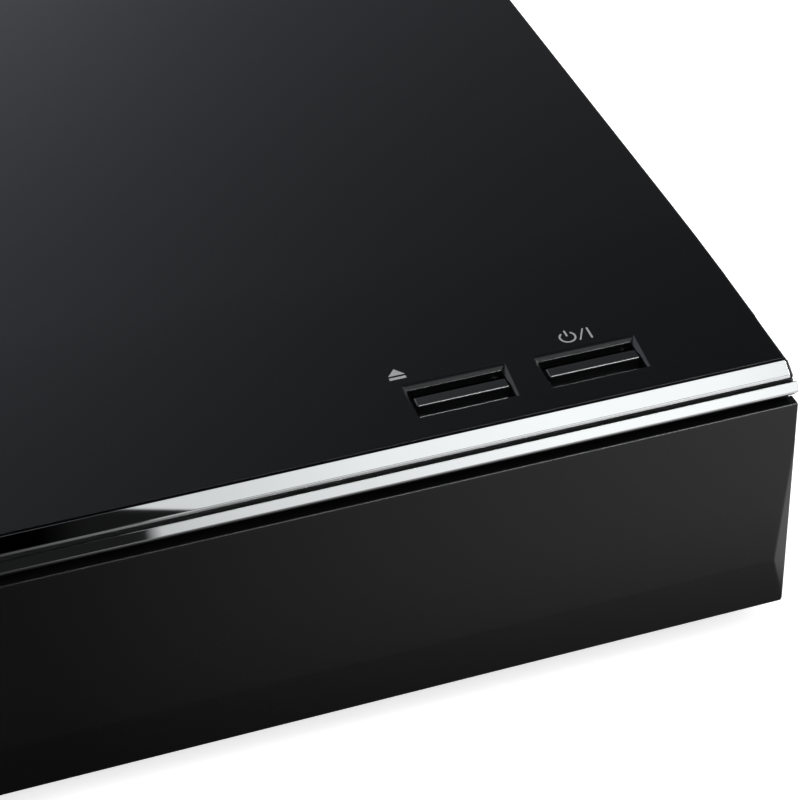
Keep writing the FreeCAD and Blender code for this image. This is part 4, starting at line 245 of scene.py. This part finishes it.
air_strip_band = ramp(air, air_z, ((0.62, 0.0), (0.66, 1.0), (0.72, 1.0), (0.76, 0.003), (0.88, 0.0)))
air_high_band = ramp(air, air_z, ((0.84, 0.0), (0.88, 1.0)))
air_low_box = maths(air, "MULTIPLY", air_low, air_low_band)
air_high_box = maths(air, "MULTIPLY", air_over, air_high_band)
air_thin_strip = maths(air, "MULTIPLY", maths(air, "MULTIPLY", air_strip, air_strip_band), air_strip_gain)
air_ahead = maths(air, "ADD", maths(air, "ADD", air_low_box, air_high_box), air_thin_strip)

# Both halves of the room, run together to each side of the player
air_back = ranged(air, air_y, 0.0, 0.4, 0.0, 1.0, smooth=True)
air_front = maths(air, "SUBTRACT", 1.0, air_back)
air_back_part = maths(air, "MULTIPLY", air_behind, air_back)
air_level = maths(air, "ADD", air_back_part, maths(air, "MULTIPLY", air_ahead, air_front))
air_tint = mixed(air, air_back, (0.975, 1.0, 0.995), (0.95, 0.98, 1.07))
air_gloss = placed(air, "ShaderNodeBackground", {"Color": air_tint, "Strength": air_level})[0]
air_fill = placed(air, "ShaderNodeBackground", {"Color": (0.8, 0.8, 0.8), "Strength": 0.55})[0]
air_white = placed(air, "ShaderNodeBackground", {"Color": (1.0, 1.0, 1.0), "Strength": 1.0})[0]
air_ray = placed(air, "ShaderNodeLightPath")
air_seen = maths(air, "MAXIMUM", air_ray["Is Camera Ray"], air_ray["Is Transmission Ray"])
air_unseen = mix_shader(air, air_ray["Is Glossy Ray"], air_fill, air_gloss)
placed(air, "ShaderNodeOutputWorld", {"Surface": mix_shader(air, air_seen, air_unseen, air_white)})


def soft_lamp(name, place, width, power):
    """A square lamp aimed at the player. Only diffuse surfaces see it, so that no lamp shows in the gloss."""
    data = bpy.data.lights.new(name, "AREA")
    data.size = width
    data.energy = power
    lamp = bpy.data.objects.new(name, data)
    turn = (-Vector(place)).to_track_quat("-Z", "Y").to_matrix()
    lamp.matrix_world = Matrix.LocRotScale(Vector(place), turn, None)
    lamp.visible_glossy = False
    bpy.context.scene.collection.objects.link(lamp)


soft_lamp("overhead_lamp", (0.1, -0.1, 1.6), width=1.6, power=14)
soft_lamp("left_lamp", (-1.3, -1.0, 1.0), width=1.0, power=6)
soft_lamp("right_lamp", (1.4, -0.9, 0.8), width=1.0, power=5)


def texture_group(name, outputs, inputs):
    """A shared effect: a node group with named outputs, and named inputs with their start values. Returns the
    group, what comes in, what goes out and the object's own coordinates."""
    group = bpy.data.node_groups.new(name, "ShaderNodeTree")
    for label in outputs:
        group.interface.new_socket(label, in_out="OUTPUT", socket_type="NodeSocketFloat")
    for label, value in inputs:
        socket = group.interface.new_socket(label, in_out="INPUT", socket_type="NodeSocketFloat")
        socket.default_value = value
    enter = group.nodes.new("NodeGroupInput").outputs
    leave = group.nodes.new("NodeGroupOutput").inputs
    return group, enter, leave, object_place(group)


def noise_in(tree, place, scale, detail):
    """A noise texture on the place."""
    return placed(tree, "ShaderNodeTexNoise", {"Vector": place, "Scale": scale, "Detail": detail})["Fac"]


def wandering(group, noise, enter):
    """A roughness that wanders round Base: the noise, less a half, times Change, is added to it."""
    shift = maths(group, "MULTIPLY", maths(group, "SUBTRACT", noise, 0.5), enter["Change"])
    return maths(group, "ADD", enter["Base"], shift)


# Moulded plastic: a fine grain for the bump, and slow patches that change how sharply the surface reflects
moulded_patches = 22.0
moulded_look, moulded_in, moulded_out, moulded_place = texture_group(
    "moulded_look", ("Grain", "Roughness"), (("Grain scale", 4000.0), ("Base", 0.3), ("Change", 0.06)))
moulded_grain = noise_in(moulded_look, moulded_place, moulded_in["Grain scale"], 2.0)
moulded_patch = noise_in(moulded_look, moulded_place, moulded_patches, 4.0)
feed(moulded_look, moulded_grain, moulded_out["Grain"])
feed(moulded_look, wandering(moulded_look, moulded_patch, moulded_in), moulded_out["Roughness"])


def group_in(tree, group, **values):
    """Places a shared effect in a material with its own values. Returns its outputs."""
    node = tree.nodes.new("ShaderNodeGroup")
    node.node_tree = group
    for label, value in values.items():
        node.inputs[label.replace("_", " ").capitalize()].default_value = value
    return node.outputs


def principled(tree, colour, **values):
    """A Principled shader on the material's output, with plain values on its own sockets."""
    shader = tree.nodes.new("ShaderNodeBsdfPrincipled")
    shader.inputs["Base Color"].default_value = (*colour, 1)
    for label, value in values.items():
        shader.inputs[label.replace("_", " ")].default_value = value
    placed(tree, "ShaderNodeOutputMaterial", {"Surface": shader.outputs[0]})
    return shader


def bump(tree, shader, height, relief):
    """Feeds a height to the shader's normal, as so many thousandths of a millimetre."""
    raised = placed(tree, "ShaderNodeBump", {"Height": height, "Distance": relief * MM * MM})[0]
    feed(tree, raised, shader.inputs["Normal"])


def skin(tree, shader, group, relief=0, **values):
    """Places a shared effect on a shader: its second output is the roughness, and its first the relief."""
    look = group_in(tree, group, **values)
    feed(tree, look["Roughness"], shader.inputs["Roughness"])
    if relief:
        bump(tree, shader, look[0], relief)


def moulded(name, colour, roughness, change, grain, relief, **values):
    """Moulded plastic of one colour: slow patches in its gloss and a fine grain in its surface."""
    material, tree = new_material(name)
    shader = principled(tree, colour, **values)
    skin(tree, shader, moulded_look, relief, grain_scale=grain, base=roughness, change=change)
    return material


def dress(names, material, edge=0, steps=2, sharp=25):
    """Gives construction nodes their material, and rounds their edges by so many millimetres where the faces
    meet at more than so many degrees."""
    for name in names:
        piece = nodes[name]
        if not piece.data.materials:
            piece.data.materials.append(material)
        for place in range(len(piece.data.materials)):
            piece.data.materials[place] = material
        if edge:
            weld = piece.modifiers.new("joined_faces", "WELD")
            weld.merge_threshold = 0.004 * MM
            plain = piece.modifiers.new("whole_faces", "DECIMATE")
            plain.decimate_type = "DISSOLVE"
            plain.angle_limit = math.radians(0.3)
            rounding = piece.modifiers.new("rounded_edges", "BEVEL")
            rounding.width = edge * MM
            rounding.segments = steps
            rounding.limit_method = "ANGLE"
            rounding.angle_limit = math.radians(sharp)
            rounding.use_clamp_overlap = False
            even = piece.modifiers.new("even_shading", "WEIGHTED_NORMAL")
            even.weight = 50
            even.keep_sharp = False


cover_black = moulded("cover_black", (0.003, 0.0032, 0.0038), roughness=0.2, change=0.04, grain=5200,
                      relief=1)
dress(["top_cover"], cover_black, edge=0.05, steps=2, sharp=43)

# The roof's own normal, worked out from the arc of its crown, so that its reflections run without a break
roof_flat_height = 59.0
crown_start = -47.525
crown_run = 50.0
crown_fall = 1.7
crown_radius = crown_run ** 2 / (2 * crown_fall)
roof_upright = 0.985     # how far up a face has to look to be the roof's
cover_tree = cover_black.node_tree
roof_y = split(cover_tree, object_place(cover_tree))["Y"]
roof_ahead = maths(cover_tree, "MINIMUM", maths(cover_tree, "SUBTRACT", roof_y, crown_start * MM), 0.0)
roof_lean = maths(cover_tree, "MULTIPLY", roof_ahead, 1 / (crown_radius * MM))
roof_normal = placed(cover_tree, "ShaderNodeCombineXYZ", {"Y": roof_lean, "Z": 1.0})[0]
roof_face = placed(cover_tree, "ShaderNodeNewGeometry")
roof_here = maths(cover_tree, "GREATER_THAN", split(cover_tree, roof_face["True Normal"])["Z"], roof_upright)
roof_shading = mixed(cover_tree, roof_here, roof_face["Normal"], roof_normal, kind="VECTOR")
cover_bump = next(node for node in cover_tree.nodes if node.type == "BUMP")
feed(cover_tree, roof_shading, cover_bump.inputs["Normal"])


# Printed marks on the cover: the generic signs for standby and for eject, in grey ink.
# Each is a thin layer that follows the fall of the roof towards the front.
ink_foot = -0.02         # from the roof
ink_top = 0.05
ink_width = 0.34


def roof_height(y):
    """The roof's height in millimetres: flat behind, and on a circle's arc in front of the crown's start."""
    ahead = np.clip(crown_start - y, 0, None)
    return roof_flat_height - (crown_radius - np.sqrt(crown_radius ** 2 - ahead ** 2))


def ink_line(path, width):
    """A line of ink: the path's points in X and Y, with half the width laid off to each side of it."""
    path = np.asarray(path, float)
    along = np.gradient(path, axis=0)
    along /= np.linalg.norm(along, axis=1, keepdims=True)
    across = np.stack([-along[:, 1], along[:, 0]], axis=1)
    width = np.broadcast_to(np.asarray(width, float), len(path))[:, None] / 2
    return path - across * width, path + across * width


def outwards(piece):
    """Merges a piece's doubled points and turns every face outwards."""
    shape = bmesh.new()
    shape.from_mesh(piece.data)
    bmesh.ops.remove_doubles(shape, verts=shape.verts, dist=1e-7)
    bmesh.ops.recalc_face_normals(shape, faces=shape.faces)
    shape.to_mesh(piece.data)
    shape.free()
    return piece


def printed(name, lines):
    """Ink lines as one piece: for each, a closed thin box along its two edges, its foot just inside the roof
    and its top just over it, with a face across each end."""
    boxes = []
    for left, right in lines:
        edges = np.stack([left, right, right, left], axis=1)
        lift = np.array([ink_foot, ink_foot, ink_top, ink_top])
        height = roof_height(edges[:, :, 1]) + lift
        places, sides = grid_surface(edges[:, :, 0], edges[:, :, 1], height, closed=True)
        last = len(places) - 4
        ends = np.array([[0, 1, 2, 3], [last + 3, last + 2, last + 1, last]])
        boxes.append((places, np.vstack([sides, ends])))
    return outwards(new_piece(name, boxes))


def arc_path(centre, radius, start, end, steps):
    """Points on a circle's arc, from one angle in degrees to another."""
    turn = np.radians(np.linspace(start, end, steps))
    return np.stack([centre[0] + radius * np.cos(turn), centre[1] + radius * np.sin(turn)], axis=1)


def straight(first, second, steps=8):
    """Points on a straight run."""
    share = np.linspace(0, 1, steps)[:, None]
    return np.asarray(first) * (1 - share) + np.asarray(second) * share


standby_marks = printed("standby_marks", [
    ink_line(arc_path((181.4, -80.6), 1.35, 125, 415, 40), ink_width),
    ink_line(straight((181.4, -80.35), (181.4, -78.75)), ink_width),
    ink_line(straight((184.62, -79.15), (183.2, -82.04)), 0.26),
    ink_line(straight((185.35, -79.15), (185.35, -82.1)), ink_width),
])
eject_marks = printed("eject_marks", [
    ink_line(straight((150.82, -80.85), (150.82, -79.15), 12), np.linspace(2.9, 0.03, 12)),
    ink_line(straight((149.36, -81.62), (152.28, -81.62)), 0.62),
])
ink_grey = moulded("ink_grey", (0.31, 0.315, 0.32), roughness=0.55, change=0.1, grain=9000, relief=2)
for marks in (standby_marks, eject_marks):
    marks.data.materials.append(ink_grey)
    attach(marks, "casing")


# Front door: moulded charcoal plastic with a satin skin, a long bulge and a slanted facet at each end.
# It turns on two pins low in the fascia. The tray's lid is the same moulding, so that both read as one panel.
door_charcoal = moulded("door_charcoal", (0.0042, 0.0042, 0.0046), roughness=0.27, change=0.05, grain=4200,
                        relief=1.8)
dress(["front_door", "tray_lid"], door_charcoal, edge=0.3, steps=3)


# Trims: two strips of plastic, plated mirror bright, a broad one over a narrow one.
# Both are glued to the fascia's brow, between the roof's front edge and the door.
def plated(name, colour, roughness):
    """Bright plating: a smooth metal with the faint waviness of the moulding under it. Where the eased edges
    turn half up, a painted shade darkens its colour, which dims the bright strip of the room that they
    reflect."""
    material, tree = new_material(name)
    shader = principled(tree, colour, Metallic=1.0)
    skin(tree, shader, moulded_look, 0.3, grain_scale=60, base=roughness, change=0.01)
    upward = split(tree, placed(tree, "ShaderNodeNewGeometry")["Normal"])["Z"]
    above = ranged(tree, upward, 0.54, 0.6, 0.0, 1.0)
    below = ranged(tree, upward, 0.72, 0.78, 1.0, 0.0)
    # Painted shade: eased edges that turn half up get a much darker colour, so that they show less of the
    # bright strip
    painted_edge_shade = [0.09 * part for part in colour]
    feed(tree, mixed(tree, maths(tree, "MULTIPLY", above, below), colour, painted_edge_shade), shader.inputs["Base Color"])
    return material


trim_bright = plated("trim_bright", (0.86, 0.87, 0.88), roughness=0.02)
dress(["upper_trim", "lower_trim"], trim_bright, edge=0.12, steps=3)


# Fascia: one matt black moulding behind the door, with the tray's mouth and the display's opening.
# A shelf at its foot meets the base. It carries the door, the trims, the keys' board and the display's.
fascia_black = moulded("fascia_black", (0.006, 0.006, 0.0064), roughness=0.55, change=0.08, grain=3000,
                       relief=4)
dress(["front_fascia"], fascia_black, edge=0.15)


# Keys: glossy black bars, each moulded in one with the plate that slides in the cover's well and with a stem.
# The stem stands in a small switch of black plastic on the board below, which pushes the key back up.
key_black = moulded("key_black", (0.006, 0.0062, 0.0068), roughness=0.14, change=0.03, grain=5200, relief=1,
                    IOR=2.0)
dress(["open_close_button", "power_button"], key_black, edge=0.3, steps=3)
switch_black = moulded("switch_black", (0.018, 0.018, 0.019), roughness=0.5, change=0.1, grain=3000, relief=4)
dress(["button_switches"], switch_black)


# Display: a smoked plastic window in the fascia's opening.
# Close behind it, on the display's board, lies the glass tube with its grid of segments.
def smoked(name, colour, roughness, share):
    """Tinted clear plastic: a dark gloss that lets part of the light through."""
    material, tree = new_material(name)
    shader = principled(tree, colour, Metallic=0.0, Transmission_Weight=share)
    skin(tree, shader, moulded_look, grain_scale=300, base=roughness, change=0.02)
    return material


dress(["display_window"], smoked("window_smoke", (0.12, 0.13, 0.135), roughness=0.06, share=0.75))

tube_glass, tube_tree = new_material("tube_glass")
tube_shader = principled(tube_tree, (0.05, 0.07, 0.068), Roughness=0.12)
tube_upright = placed(tube_tree, "ShaderNodeMapping",
                      {"Vector": object_place(tube_tree), "Rotation": (math.pi / 2, 0, 0)})[0]
tube_cells = 120.0
tube_grid = {"Color1": (0.05, 0.075, 0.07), "Color2": (0.055, 0.08, 0.075), "Mortar": (0.012, 0.014, 0.014)}
tube_segments = placed(tube_tree, "ShaderNodeTexBrick",
                       {"Vector": tube_upright, "Scale": tube_cells, **tube_grid}, offset=0.0)["Color"]
feed(tube_tree, tube_segments, tube_shader.inputs["Base Color"])
dress(["display_tube"], tube_glass)


# Circuit boards: laminate with copper traces under solder mask, tan for the power board and green for the
# others, and tinned pads. The two large ones are screwed to posts of the base, the small ones stand in front.
trace_gap = 0.55         # the share of each ring of traces that is bare laminate
traces_in_cell = 5.0
pad_reach = 0.17
board_look, board_in, board_out, board_place = texture_group(
    "board_look", ("Traces", "Pads"), (("Trace scale", 260.0), ("Pad scale", 330.0)))
board_cells = placed(board_look, "ShaderNodeTexVoronoi",
                     {"Vector": board_place, "Scale": board_in["Trace scale"]},
                     distance="CHEBYCHEV")["Distance"]
board_dots = placed(board_look, "ShaderNodeTexVoronoi",
                    {"Vector": board_place, "Scale": board_in["Pad scale"]})["Distance"]
board_rings = maths(board_look, "FRACT", maths(board_look, "MULTIPLY", board_cells, traces_in_cell))
feed(board_look, maths(board_look, "GREATER_THAN", board_rings, trace_gap), board_out["Traces"])
feed(board_look, maths(board_look, "LESS_THAN", board_dots, pad_reach), board_out["Pads"])
pad_tin = (0.55, 0.55, 0.52)


def printed_board(name, mask, traced):
    """A circuit board: solder mask of one colour, another over the traces, and tinned pads."""
    material, tree = new_material(name)
    shader = principled(tree, mask, Roughness=0.35)
    look = group_in(tree, board_look)
    over = mixed(tree, look["Traces"], mask, traced)
    feed(tree, mixed(tree, look["Pads"], over, pad_tin), shader.inputs["Base Color"])
    bump(tree, shader, look["Traces"], 30)
    return material


mask_green = printed_board("mask_green", (0.012, 0.09, 0.035), (0.02, 0.16, 0.06))
dress(["main_board", "button_board", "display_board", "usb_board"], mask_green)
mask_tan = printed_board("mask_tan", (0.34, 0.22, 0.08), (0.24, 0.16, 0.055))
dress(["power_board"], mask_tan)


# Base and rear panel: zinc-coated steel sheet, cut and folded, and powder painted black.
# The rear panel is screwed to tabs of the base and has the fan and an opening for each socket.
def powder_painted(name, colour):
    """Powder paint on sheet: an orange-peel relief over a slow change of gloss."""
    return moulded(name, colour, roughness=0.5, change=0.12, grain=1500, relief=20)


dress(["chassis_base"], powder_painted("base_paint", (0.017, 0.017, 0.018)))
dress(["rear_panel"], powder_painted("rear_paint", (0.014, 0.014, 0.015)))


# Feet: round rubber mouldings with two rings on the tread and a sunk middle.
# Each is pushed by its stem into a hole of the base, near one of its corners.
def turned_surface(profile, centre, steps=72):
    """A profile of radius and height turned round an upright axis: the grid of its places in X, Y and Z."""
    profile = np.asarray(profile, float)
    turn = np.linspace(0, 2 * np.pi, steps, endpoint=False)
    x = centre[0] + profile[:, :1] * np.cos(turn)[None, :]
    y = centre[1] + profile[:, :1] * np.sin(turn)[None, :]
    z = np.repeat(profile[:, 1:], steps, axis=1)
    return x, y, z


foot_profile = [
    (0.001, 9.3), (2.6, 9.3), (3.0, 8.9), (3.0, 6.5), (10.2, 6.5), (10.6, 6.3), (11.8, 1.6), (12.0, 0.9),
    (11.6, 0.15), (11.2, 0.0), (10.4, 0.0), (10.2, 0.35), (9.8, 0.35), (9.6, 0.0), (8.2, 0.0), (8.0, 0.5),
    (7.6, 0.5), (7.4, 0.0), (5.6, 0.0), (5.2, 0.4), (5.0, 1.6), (4.6, 2.0), (0.001, 2.0)]
foot_centres = [(x, y) for x in (-169.0, 169.0) for y in (-69.5, 65.5)]
feet = outwards(new_piece("rubber_feet", [
    grid_surface(*turned_surface(foot_profile, centre), closed=True) for centre in foot_centres]))
feet.data.polygons.foreach_set("use_smooth", np.ones(len(feet.data.polygons), bool))
foot_corners = feet.modifiers.new("crisp_rings", "EDGE_SPLIT")
foot_corners.split_angle = math.radians(35)
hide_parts("feet")
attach(feet, "casing")


def rubbery(name, colour, grain=2600):
    """Matt rubber: a soft grain and a broad, dull shine."""
    return moulded(name, colour, roughness=0.78, change=0.12, grain=grain, relief=8, Sheen_Weight=0.15)


foot_black = rubbery("foot_black", (0.012, 0.012, 0.012))
feet.data.materials.append(foot_black)


# Grommets and belt of the drive: black rubber as well, the belt of square section.
# The grommets sit in the lugs of the drive's frame; the belt is stretched over the motor's wheel and the
# belt gear.
dress(["drive_grommets"], foot_black)
dress(["loading_belt"], rubbery("belt_black", (0.009, 0.009, 0.009), grain=5000))


# Tray, drive frame and traverse: mouldings of fine-grained dark plastic. The tray has the disc's pocket and
# its own rack and slides on the frame's ledges; the traverse turns on pivots at the frame's back.
tray_grey = moulded("tray_grey", (0.02, 0.02, 0.0215), roughness=0.5, change=0.08, grain=3600, relief=6)
dress(["disc_tray"], tray_grey, edge=0.25)
frame_black = moulded("frame_black", (0.011, 0.011, 0.0115), roughness=0.55, change=0.1, grain=2600, relief=8)
dress(["drive_frame"], frame_black)
traverse_black = moulded("traverse_black", (0.016, 0.016, 0.0165), roughness=0.5, change=0.1, grain=2600,
                         relief=8)
dress(["traverse_frame"], traverse_black)


# Gears, cam, clamper and turntable: small acetal mouldings with a waxy shine. The gears run on posts of the
# drive's frame, the cam slides across it, and the clamper is held loosely by its bridge over the tray.
gear_cream = moulded("gear_cream", (0.6, 0.57, 0.48), roughness=0.38, change=0.08, grain=2400, relief=3,
                     Subsurface_Weight=0.05)
dress(["motor_pulley", "pulley_gear", "drive_gear"], gear_cream)
cam_grey = moulded("cam_grey", (0.26, 0.27, 0.29), roughness=0.42, change=0.08, grain=2400, relief=3)
dress(["lift_cam"], cam_grey)
clamper_white = moulded("clamper_white", (0.5, 0.49, 0.46), roughness=0.4, change=0.08, grain=2400, relief=3)
dress(["clamper"], clamper_white, edge=0.15)
turntable_grey = moulded("turntable_grey", (0.03, 0.03, 0.031), roughness=0.45, change=0.08, grain=2600,
                         relief=5)
dress(["turntable"], turntable_grey, edge=0.15)


# Pins, rods, lead screw and mains contacts: drawn and turned steel, bright, with fine lines from the tool.
# The hinge pins go through the fascia's ears and the door's lugs, the rods and the screw lie in the traverse.
metal_look, metal_in, metal_out, metal_place = texture_group(
    "metal_look", ("Lines", "Roughness"),
    (("Across", 900.0), ("Along", 40.0), ("Base", 0.35), ("Change", 0.2)))
metal_stretch = placed(metal_look, "ShaderNodeCombineXYZ",
                       {"X": metal_in["Across"], "Y": metal_in["Along"], "Z": metal_in["Across"]})[0]
metal_scaled = placed(metal_look, "ShaderNodeVectorMath", {0: metal_place, 1: metal_stretch},
                      operation="MULTIPLY")[0]
metal_lines = noise_in(metal_look, metal_scaled, 1.0, 3.0)
feed(metal_look, metal_lines, metal_out["Lines"])
feed(metal_look, wandering(metal_look, metal_lines, metal_in), metal_out["Roughness"])


def metal(name, colour, roughness, across=900, along=40, relief=4):
    """Bare metal: fine lines along Y, or even grain where both scales are alike."""
    material, tree = new_material(name)
    shader = principled(tree, colour, Metallic=1.0)
    skin(tree, shader, metal_look, relief, across=across, along=along, base=roughness, change=0.2)
    return material


steel_bright = metal("steel_bright", (0.62, 0.62, 0.63), roughness=0.25)
dress(["door_hinge_pins", "guide_rods", "lead_screw", "inlet_contacts"], steel_bright)


# Screws: pressed steel with pan heads, zinc plated inside and blackened on the casing.
# Inside they hold the drive and the boards, outside the cover, the rear panel and the fan.
dress(["inner_screws"], metal("steel_zinc", (0.6, 0.6, 0.57), roughness=0.35, across=700, along=700))
dress(["casing_screws"], metal("screw_black", (0.05, 0.05, 0.052), roughness=0.4, across=700, along=700))


# Clamp bridge and motors: pressed steel sheet, zinc plated for the bridge and drawn to cans for the motors.
# The bridge lies across the drive's frame over the tray; the motors are pressed into their seats.
dress(["clamp_bridge"], metal("bridge_zinc", (0.58, 0.58, 0.57), roughness=0.38, across=60, along=900))
can_steel = metal("can_steel", (0.52, 0.52, 0.53), roughness=0.3, across=500, along=500)
dress(["loading_motor", "spindle_motor", "sled_motor"], can_steel)


# Pickup: a die-cast aluminium body that slides on the two guide rods.
# Its lens is a low moulded dome with a bluish coating, seated in a ring on the body.
cast_aluminium = metal("cast_aluminium", (0.5, 0.5, 0.51), roughness=0.5, across=1400, along=1400, relief=20)
dress(["optical_pickup"], cast_aluminium)
lens_coated, lens_tree = new_material("lens_coated")
principled(lens_tree, (0.25, 0.35, 0.6), Roughness=0.03, Transmission_Weight=0.6, Coat_Weight=1.0)
dress(["pickup_lens"], lens_coated)


# Heat sink: extruded aluminium with upright fins, sawn to length.
# It stands on the main board's largest chip.
extruded = metal("extruded_aluminium", (0.6, 0.61, 0.62), roughness=0.4, across=1200, along=30, relief=8)
dress(["heat_sink"], extruded)


# Socket shells and jack rings: thin nickel-plated sheet folded round the data sockets, and turned brass with
# gold plating for the audio jacks. The shells stand on their boards, the rings out of the jacks' block.
shell_nickel = metal("shell_nickel", (0.62, 0.61, 0.58), roughness=0.28, across=900, along=300)
dress(["front_usb_port", "hdmi_ports", "lan_port"], shell_nickel)
dress(["audio_jack_rings"], metal("jack_gold", (0.83, 0.62, 0.27), roughness=0.22, across=900, along=300))


# Socket housings: black mouldings of the optical port, the mains inlet and the block of audio jacks.
# They reach through the openings of the rear panel.
socket_black = moulded("socket_black", (0.014, 0.014, 0.014), roughness=0.45, change=0.1, grain=2600,
                       relief=5)
dress(["optical_port", "mains_inlet", "audio_jack_block"], socket_black)


# Jack collars: moulded plastic rings at the foot of the jacks, in the usual colours for each signal.
# They stand in two rows: the colour follows from how far across the panel and how high each one is.
collar_rows_part = 30.6
collar_first = 89.7
collar_last = 209.7
blue, green, white = (0.03, 0.09, 0.4), (0.02, 0.25, 0.06), (0.7, 0.68, 0.62)
brown, purple, red = (0.3, 0.14, 0.03), (0.25, 0.04, 0.3), (0.5, 0.02, 0.02)
orange = (0.8, 0.28, 0.02)
collar_upper = ((0.0, blue), (0.1, green), (0.2, white), (0.5, orange))
collar_lower = ((0.0, brown), (0.1, purple), (0.2, red), (0.5, orange))
collar_paint, collar_tree = new_material("collar_paint")
collar_shader = principled(collar_tree, red, Roughness=0.4)
collar_x, collar_y, collar_z = split(collar_tree, object_place(collar_tree))
collar_across = ranged(collar_tree, collar_x, collar_first * MM, collar_last * MM, 0.0, 1.0)
collar_row = maths(collar_tree, "GREATER_THAN", collar_z, collar_rows_part * MM)
collar_colour = mixed(collar_tree, collar_row, ramp(collar_tree, collar_across, collar_lower, stepped=True),
                      ramp(collar_tree, collar_across, collar_upper, stepped=True))
feed(collar_tree, collar_colour, collar_shader.inputs["Base Color"])
dress(["jack_collars"], collar_paint)


# Chips and board connectors: packages of black epoxy, and sockets moulded in natural nylon.
# All are soldered to the tops of the two large boards.
dress(["board_chips"], moulded("chip_epoxy", (0.012, 0.012, 0.013), roughness=0.6, change=0.1, grain=3000,
                               relief=6))
dress(["board_connectors"], moulded("plug_nylon", (0.62, 0.59, 0.5), roughness=0.45, change=0.08, grain=2400,
                                    relief=4))


# Capacitors: aluminium cans in a shrunk dark blue sleeve, with their tops bare.
# They stand upright on the two large boards and are soldered to them.
sleeve_blue = (0.012, 0.016, 0.06)
can_sleeve, can_tree = new_material("can_sleeve")
can_shader = principled(can_tree, sleeve_blue)
can_upward = split(can_tree, placed(can_tree, "ShaderNodeTexCoord")["Normal"])["Z"]
can_top = maths(can_tree, "GREATER_THAN", can_upward, 0.5)
feed(can_tree, mixed(can_tree, can_top, sleeve_blue, (0.6, 0.6, 0.61)), can_shader.inputs["Base Color"])
feed(can_tree, can_top, can_shader.inputs["Metallic"])
skin(can_tree, can_shader, moulded_look, grain_scale=2000, base=0.35, change=0.08)
dress(["capacitors"], can_sleeve)


# Transformer: a dark ferrite core round a coil that is wrapped in yellow tape.
# It stands on the power board and is soldered to it.
tape_centre = -163.7
tape_half_width = 11.7
tape_yellow = (0.62, 0.42, 0.05)
ferrite_dark = (0.03, 0.03, 0.032)
transformer_tape, tape_tree = new_material("transformer_tape")
tape_shader = principled(tape_tree, tape_yellow)
tape_x = split(tape_tree, object_place(tape_tree))["X"]
tape_off = maths(tape_tree, "ABSOLUTE", maths(tape_tree, "SUBTRACT", tape_x, tape_centre * MM))
tape_beyond = maths(tape_tree, "GREATER_THAN", tape_off, tape_half_width * MM)
feed(tape_tree, mixed(tape_tree, tape_beyond, tape_yellow, ferrite_dark), tape_shader.inputs["Base Color"])
skin(tape_tree, tape_shader, moulded_look, grain_scale=1500, base=0.45, change=0.1)
dress(["power_transformer"], transformer_tape)


# Fan: a square frame and a bladed rotor, both moulded in matt black plastic.
# The frame is screwed to the inside of the rear panel, and the rotor turns on its axle.
fan_black = moulded("fan_black", (0.01, 0.01, 0.0105), roughness=0.5, change=0.1, grain=2600, relief=6)
dress(["fan_frame", "fan_rotor"], fan_black)


# Cables inside: a flat white ribbon of joined wires from the main board up to the display's board, and a
# bundle of wires in a black sleeve from the power board over the back of the drive to the main board.
ribbon_wires = 310.0
ribbon_white, ribbon_tree = new_material("ribbon_white")
ribbon_shader = principled(ribbon_tree, (0.68, 0.68, 0.65), Roughness=0.45)
ribbon_wave = placed(ribbon_tree, "ShaderNodeTexWave",
                     {"Vector": object_place(ribbon_tree), "Scale": ribbon_wires})["Fac"]
ribbon_colour = ramp(ribbon_tree, ribbon_wave, ((0.0, (0.5, 0.5, 0.47)), (1.0, (0.7, 0.7, 0.67))))
feed(ribbon_tree, ribbon_colour, ribbon_shader.inputs["Base Color"])
bump(ribbon_tree, ribbon_shader, ribbon_wave, 80)
dress(["front_ribbon_cable"], ribbon_white)
harness_sleeve = moulded("harness_sleeve", (0.02, 0.02, 0.021), roughness=0.6, change=0.1, grain=1800,
                         relief=30)
dress(["wiring_harness"], harness_sleeve)
